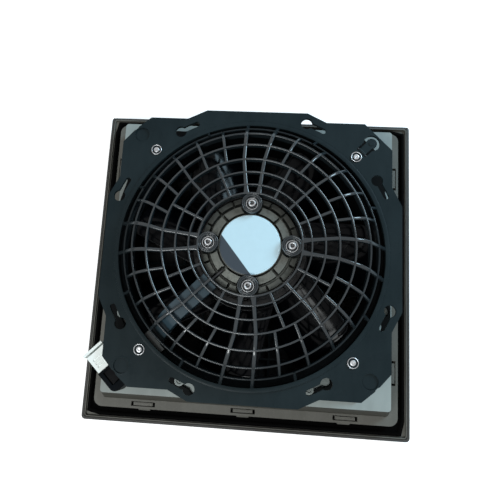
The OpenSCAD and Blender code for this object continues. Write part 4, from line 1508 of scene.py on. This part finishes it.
@dataclass(frozen=True)
class FilterMat(Part):
    """The loose fleece mat, pressed into pillows by the grid behind it.

    Attributes:
        half: Half width.
        low: Height of its face towards the slats.
        high: Height of its face towards the grid.
        pitch: Pitch of the grid.
        pillow: Depth of the pillows.
        roll: Width over which the edge rolls in.
        waves: Height and the two wave numbers of each wave of the fibres' relief.
        rows: Rows of points across the mat.
    """

    half: float = 141.8
    low: float = 12.6
    high: float = 27.0
    pitch: float = 23.0
    pillow: float = 0.9
    roll: float = 5.0
    waves: tuple[Triple, ...] = (
        (0.12, 0.9, 0.31), (0.1, -0.4, 1.1), (0.08, 1.7, -1.3), (0.07, 2.3, 2.1),
    )
    rows: int = 176

    def build(self, shop: Workshop) -> None:
        """Makes the mat as one closed shell.

        x and y run over the mat as h sgn(s) |s|^0.9, and each face lies
        pillow (1 - |sin(pi x / pitch) sin(pi y / pitch)|^0.5) and a low relief inside its
        height, and rolls in over the last few millimetres at the edge.

        Args:
            shop: The workshop.
        """
        s = np.linspace(-1.0, 1.0, self.rows)
        run = self.half * np.sign(s) * np.abs(s) ** 0.9
        x, y = np.meshgrid(run, run, indexing="ij")
        edge = self.half - np.maximum(np.abs(x), np.abs(y))
        near = np.clip(1.0 - edge / self.roll, 0.0, 1.0)
        rolled = (1.0 - np.sqrt(1.0 - near**2)) * 0.48 * (self.high - self.low)
        tuft = np.sqrt(np.abs(np.sin(np.pi * x / self.pitch) * np.sin(np.pi * y / self.pitch)))
        fibre = np.abs(ripple(x, y, self.waves))
        upper = self.high - 0.1 - self.pillow * (1.0 - tuft) - 0.4 * fibre - rolled
        lower = self.low + 0.1 + 0.5 * fibre + rolled
        made = Surface().grid(np.stack((x, y, upper), axis=-1)).grid(np.stack((x, y, lower), axis=-1))
        for cut in ((0, slice(None)), (-1, slice(None)), (slice(None), 0), (slice(None), -1)):
            made.grid(np.stack([np.stack((x[cut], y[cut], z[cut]), axis=-1) for z in (upper, lower)]))
        mat = shop.piece(made.mesh("fleece_mat", 80.0), "filter_mat")


@dataclass(frozen=True)
class FoamSeal(Part):
    """The poured foam seal on the flange, a low band with a soft bead.

    Attributes:
        section: Outline of the foam, as distance from the middle and height.
        corner: Corner radius at the inner edge.
        swell: Height and the two wave numbers of each wave of the bead's relief.
        cuts: Parts that each stretch between two points of the way is cut into.
    """

    section: Profile = (
        (146.4, 27.0), (156.5, 27.0), (156.5, 28.9), (155.2, 29.4), (154.6, 30.4), (154.0, 31.0),
        (153.0, 31.0), (152.4, 30.4), (151.9, 29.4), (150.6, 29.0), (147.8, 29.2), (146.4, 28.8),
    )
    corner: float = 2.0
    swell: tuple[Triple, ...] = ((0.072, 0.19, 0.23), (0.048, -0.31, 0.11))
    cuts: int = 30

    def build(self, shop: Workshop) -> None:
        """Carries the section round the square, and swells it by a low ripple along the way.

        Args:
            shop: The workshop.
        """
        profile = rounded(self.section, 0.7, 4)
        inner_half, foot_z = self.section[0]
        radii = self.corner + 0.1 * (profile[:, 0] - inner_half)
        loops = square_loops(profile[:, 0], radii, profile[:, 1], 10)
        share = np.linspace(0.0, 1.0, self.cuts, endpoint=False)[None, None, :, None]
        between = loops[:, :, None] * (1 - share) + np.roll(loops, -1, 1)[:, :, None] * share
        fine = between.reshape(len(profile), -1, 3)
        apart = np.linalg.norm(np.diff(fine[0], axis=0), axis=-1) > 0.02
        fine = fine[:, np.concatenate(([0], 1 + np.flatnonzero(apart)))]
        lift = np.clip(fine[..., 2] - foot_z - 1.0, 0.0, 3.0) / 3.0
        fine[..., 2] += lift * ripple(fine[..., 0], fine[..., 1], self.swell)
        made = Surface().grid(fine, around=True, along=True)
        shop.piece(made.mesh("foam_bead", 60.0), "foam_seal")


@dataclass(frozen=True)
class TrayStuds(Part):
    """Hollow studs with wide heads on the tray's deck.

    Attributes:
        ring_r: Radius of the circle of studs.
        angles: Angles of the studs, in each quarter.
        profile: Profile of a stud, as radius and height.
    """

    ring_r: float = 127.2
    angles: Pair = (26.5, 63.5)
    profile: Profile = (
        (0.0, 87.0), (1.7, 87.0), (1.7, 90.6), (4.4, 90.6),
        (4.4, 92.6), (2.4, 92.6), (2.3, 91.5), (0.0, 91.5),
    )

    def build(self, shop: Workshop) -> None:
        """Makes the eight studs as turned profiles.

        Args:
            shop: The workshop.
        """
        made = Surface()
        outline = rounded(self.profile, 0.4, 4)
        for quarter in QUARTERS:
            for angle in self.angles:
                made.ring(outline, 40, on_circle(self.ring_r, quarter + angle))
        shop.piece(made.mesh("deck_studs"), "tray_studs")


@dataclass(frozen=True)
class MotorLead(Part):
    """The round lead held all the way in the duct.

    Attributes:
        route: Its points, with X along the diagonal that it lies on.
        radius: Radius of the sheath.
        diagonal: Angle of that diagonal.
        ease: Share of a stretch over which a corner is rounded.
        rows: Sections of the lead.
    """

    route: tuple[Triple, ...] = (
        (30.0, 0.0, 146.2), (80.5, 0.0, 145.6), (89.8, 0.0, 139.9), (106.9, 0.0, 115.3),
        (111.8, 1.0, 115.0), (114.6, 10.2, 115.0), (148.0, 10.2, 115.0),
    )
    radius: float = 1.3
    diagonal: float = 225.0
    ease: float = 0.2
    rows: int = 120

    def build(self, shop: Workshop) -> None:
        """Sweeps a circle along the route, with its corners rounded.

        P(i, t) = C_i + r (cos t N_i + sin t B_i), where N is level and square to the route
        and B = T x N.

        Args:
            shop: The workshop.
        """
        at = np.asarray(self.route)
        knots = np.arange(len(at))
        along = np.linspace(0.0, len(at) - 1.0, self.rows)
        window = np.linspace(-self.ease, self.ease, 7)[:, None]
        inner = np.clip(np.minimum(along, len(at) - 1.0 - along) / self.ease, 0.0, 1.0)
        places = along[None] + window * inner[None]
        line = np.stack([np.interp(places, knots, at[:, k]).mean(0) for k in range(3)], axis=-1)
        tangent = np.gradient(line, axis=0)
        tangent /= np.linalg.norm(tangent, axis=1, keepdims=True)
        side = np.cross(tangent, (0.0, 0.0, 1.0))
        side /= np.linalg.norm(side, axis=1, keepdims=True)
        other = np.cross(tangent, side)
        turn = turns(16)[None, :, None]
        tube = line[:, None] + self.radius * (np.cos(turn) * side[:, None] + np.sin(turn) * other[:, None])
        made = Surface().stem(spun(tube, self.diagonal))
        shop.piece(made.mesh("lead_sheath"), "motor_lead")


DISH_AT = 102.25

MOULDS: tuple[Mould, ...] = (
    Mould("louvre_cover", 0.5),
    Mould("housing", 0.4),
    Mould("support_grid", 0.3),
    Mould("panel_clips", 0.35),
    Mould("fan_tray", 0.4),
    # Painted shade: the base flange takes the nearly black shaded finish.
    Mould("base_flange", 0.4, look=Look.SHADOWED_FLANGE_PLASTIC),
    Mould(
        "fan_plate", 0.35,
        dishes=(Dish((-DISH_AT, DISH_AT)), Dish((-DISH_AT, -DISH_AT)), Dish((DISH_AT, -DISH_AT))),
    ),
    Mould("lock_tongue", 0.25),
    # Painted shade: the wall ring takes the nearly black shaded finish.
    Mould("wall_ring", 0.4, look=Look.SHADOWED_FLANGE_PLASTIC),
    Mould("cable_duct", 0.45),
    Mould("plug_holder", 0.4),
    Mould("plug_socket", 0.25),
    Mould("plug_body", 0.4),
    Mould("plug_lever", 0.35),
    Mould("rotor_can", 0.6),
)


# Studio and camera


@dataclass(frozen=True)
class PhotoCamera:
    """The camera that the photograph was fitted to.

    Attributes:
        focal_px: Focal length in pixels of the 500 pixel frame.
        centre_px: Where the optical axis meets the frame.
        place_mm: Position in the part's frame.
        right: The picture's right.
        down: The picture's down.
        ahead: The viewing direction.
    """

    focal_px: float = 505.80
    centre_px: Pair = (221.92, 256.54)
    place_mm: Triple = (5.576, -80.602, 548.637)
    right: Triple = (0.996440, 0.061341, -0.057836)
    down: Triple = (0.050289, -0.983063, -0.176231)
    ahead: Triple = (-0.067666, 0.172695, -0.982648)

    def build(self) -> bpy.types.Object:
        """Makes the scene's camera.

        Returns:
            The camera object.
        """
        data = bpy.data.cameras.new("photo_camera")
        data.sensor_width = SENSOR_MM
        data.lens = self.focal_px / FRAME_PX * SENSOR_MM
        data.shift_x = (FRAME_PX / 2 - self.centre_px[0]) / FRAME_PX
        data.shift_y = (self.centre_px[1] - FRAME_PX / 2) / FRAME_PX
        data.clip_start, data.clip_end = 0.02, 20.0
        made = bpy.data.objects.new("photo_camera", data)
        turn = Matrix((self.right, [-v for v in self.down], [-v for v in self.ahead])).transposed()
        made.matrix_world = Matrix.Translation(Vector(self.place_mm) * MM) @ turn.to_4x4()
        bpy.context.scene.collection.objects.link(made)
        bpy.context.scene.camera = made
        return made


@dataclass(frozen=True)
class Lamp:
    """A rectangular soft lamp.

    Attributes:
        name: Its name.
        place_mm: Position.
        size_mm: Side lengths.
        watts: Power.
        colour: Colour of its light.
        aim_mm: The point that it looks at.
    """

    name: str
    place_mm: Triple
    size_mm: Pair
    watts: float
    colour: Colour
    aim_mm: Triple = (0.0, 0.0, 60.0)

    def build(self) -> None:
        """Makes the lamp, turned towards the part."""
        data = bpy.data.lights.new(self.name, "AREA")
        data.shape = "RECTANGLE"
        data.size, data.size_y = self.size_mm[0] * MM, self.size_mm[1] * MM
        data.energy = self.watts
        data.color = self.colour
        made = bpy.data.objects.new(self.name, data)
        made.location = Vector(self.place_mm) * MM
        ahead = Vector(self.aim_mm) * MM - made.location
        made.rotation_euler = ahead.to_track_quat("-Z", "Y").to_euler()
        bpy.context.scene.collection.objects.link(made)


@dataclass(frozen=True)
class Studio:
    """A pale floor, an even world and two soft lamps.

    Attributes:
        floor_side: Side length of the floor in metres.
        floor_drop: How far it lies under the part, in metres.
        floor_glow: Its own light, which only the camera sees.
        world_level: Strength of the world on matt surfaces.
        lamps: The lamps.
    """

    floor_side: float = 12.0
    floor_drop: float = 0.0004
    floor_glow: float = 0.55
    world_level: float = 0.2
    lamps: tuple[Lamp, ...] = (
        Lamp("window", (660.0, 500.0, 560.0), (380.0, 380.0), 7.9, (0.58, 0.84, 1.0)),
        Lamp("room", (-290.0, -547.0, 1100.0), (740.0, 300.0), 9.6, (0.95, 1.0, 1.0)),
    )

    def build(self) -> None:
        """Makes the world, the floor and the lamps."""
        bpy.context.scene.view_settings.view_transform = "Standard"
        self.world()
        self.floor()
        for lamp in self.lamps:
            lamp.build()

    def world(self) -> None:
        """Makes the world, white where it is seen or mirrored and dimmer as a light."""
        world = bpy.data.worlds.new("studio")
        bpy.context.scene.world = world
        world.use_nodes = True
        tree = world.node_tree
        tree.nodes.clear()
        out = tree.nodes.new("ShaderNodeOutputWorld")
        level = tree.nodes.new("ShaderNodeBackground")
        level.inputs["Color"].default_value = (1.0, 1.0, 1.0, 1.0)
        path = tree.nodes.new("ShaderNodeLightPath")
        seen = path.outputs["Is Camera Ray"]
        for kind in ("Is Glossy Ray", "Is Transmission Ray"):
            either = tree.nodes.new("ShaderNodeMath")
            either.operation = "MAXIMUM"
            tree.links.new(seen, either.inputs[0])
            tree.links.new(path.outputs[kind], either.inputs[1])
            seen = either.outputs[0]
        strength = tree.nodes.new("ShaderNodeMapRange")
        tree.links.new(seen, strength.inputs["Value"])
        strength.inputs["To Min"].default_value = self.world_level
        strength.inputs["To Max"].default_value = 1.0
        tree.links.new(strength.outputs["Result"], level.inputs["Strength"])
        tree.links.new(level.outputs[0], out.inputs["Surface"])

    def floor(self) -> None:
        """Makes the floor, a plain square under the part."""
        side = self.floor_side / 2
        corners = [(-side, -side, 0.0), (side, -side, 0.0), (side, side, 0.0), (-side, side, 0.0)]
        mesh = bpy.data.meshes.new("floor")
        mesh.from_pydata(corners, [], [(0, 1, 2, 3)])
        mesh.materials.append(self.floor_material())
        floor = bpy.data.objects.new("floor", mesh)
        floor.location.z = -self.floor_drop
        bpy.context.scene.collection.objects.link(floor)

    def floor_material(self) -> bpy.types.Material:
        """Makes the pale floor's material, which stays near white and keeps the part's shadow.

        Returns:
            The material.
        """
        g = Graph("floor")
        cloud = g.remap(g.noise(400.0, 2.0), 0.3, 0.7, 0.0, 1.0)
        g.join(g.blend(cloud, (0.86, 0.86, 0.86), (0.9, 0.9, 0.9)), g.shader.inputs["Base Color"])
        g.shader.inputs["Roughness"].default_value = 0.9
        glow = g.add("ShaderNodeEmission")
        path = g.add("ShaderNodeLightPath")
        level = g.combine(Arithmetic.MULTIPLY, path.outputs["Is Camera Ray"], self.floor_glow)
        g.join(level, glow.inputs["Strength"])
        both = g.add("ShaderNodeAddShader")
        g.join(g.shader.outputs[0], both.inputs[0])
        g.join(glow.outputs[0], both.inputs[1])
        g.join(both.outputs[0], g.output.inputs["Surface"])
        return g.material


def main() -> None:
    """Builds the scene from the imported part."""
    logging.basicConfig(level=logging.INFO, format="%(name)s: %(message)s")
    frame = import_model()
    Studio().build()
    PhotoCamera().build()
    shop = Workshop(frame)
    shop.dress()
    cover_side: tuple[Part, ...] = (Louvre(), FilterMat(), FoamSeal(), TrayStuds())
    fan_side: tuple[Part, ...] = (RingGuard(), Impeller(), MotorFace(), Fasteners(), MotorLead())
    for part in (*MOULDS, *cover_side, *fan_side):
        part.build(shop)


if __name__ == "__main__":
    main()
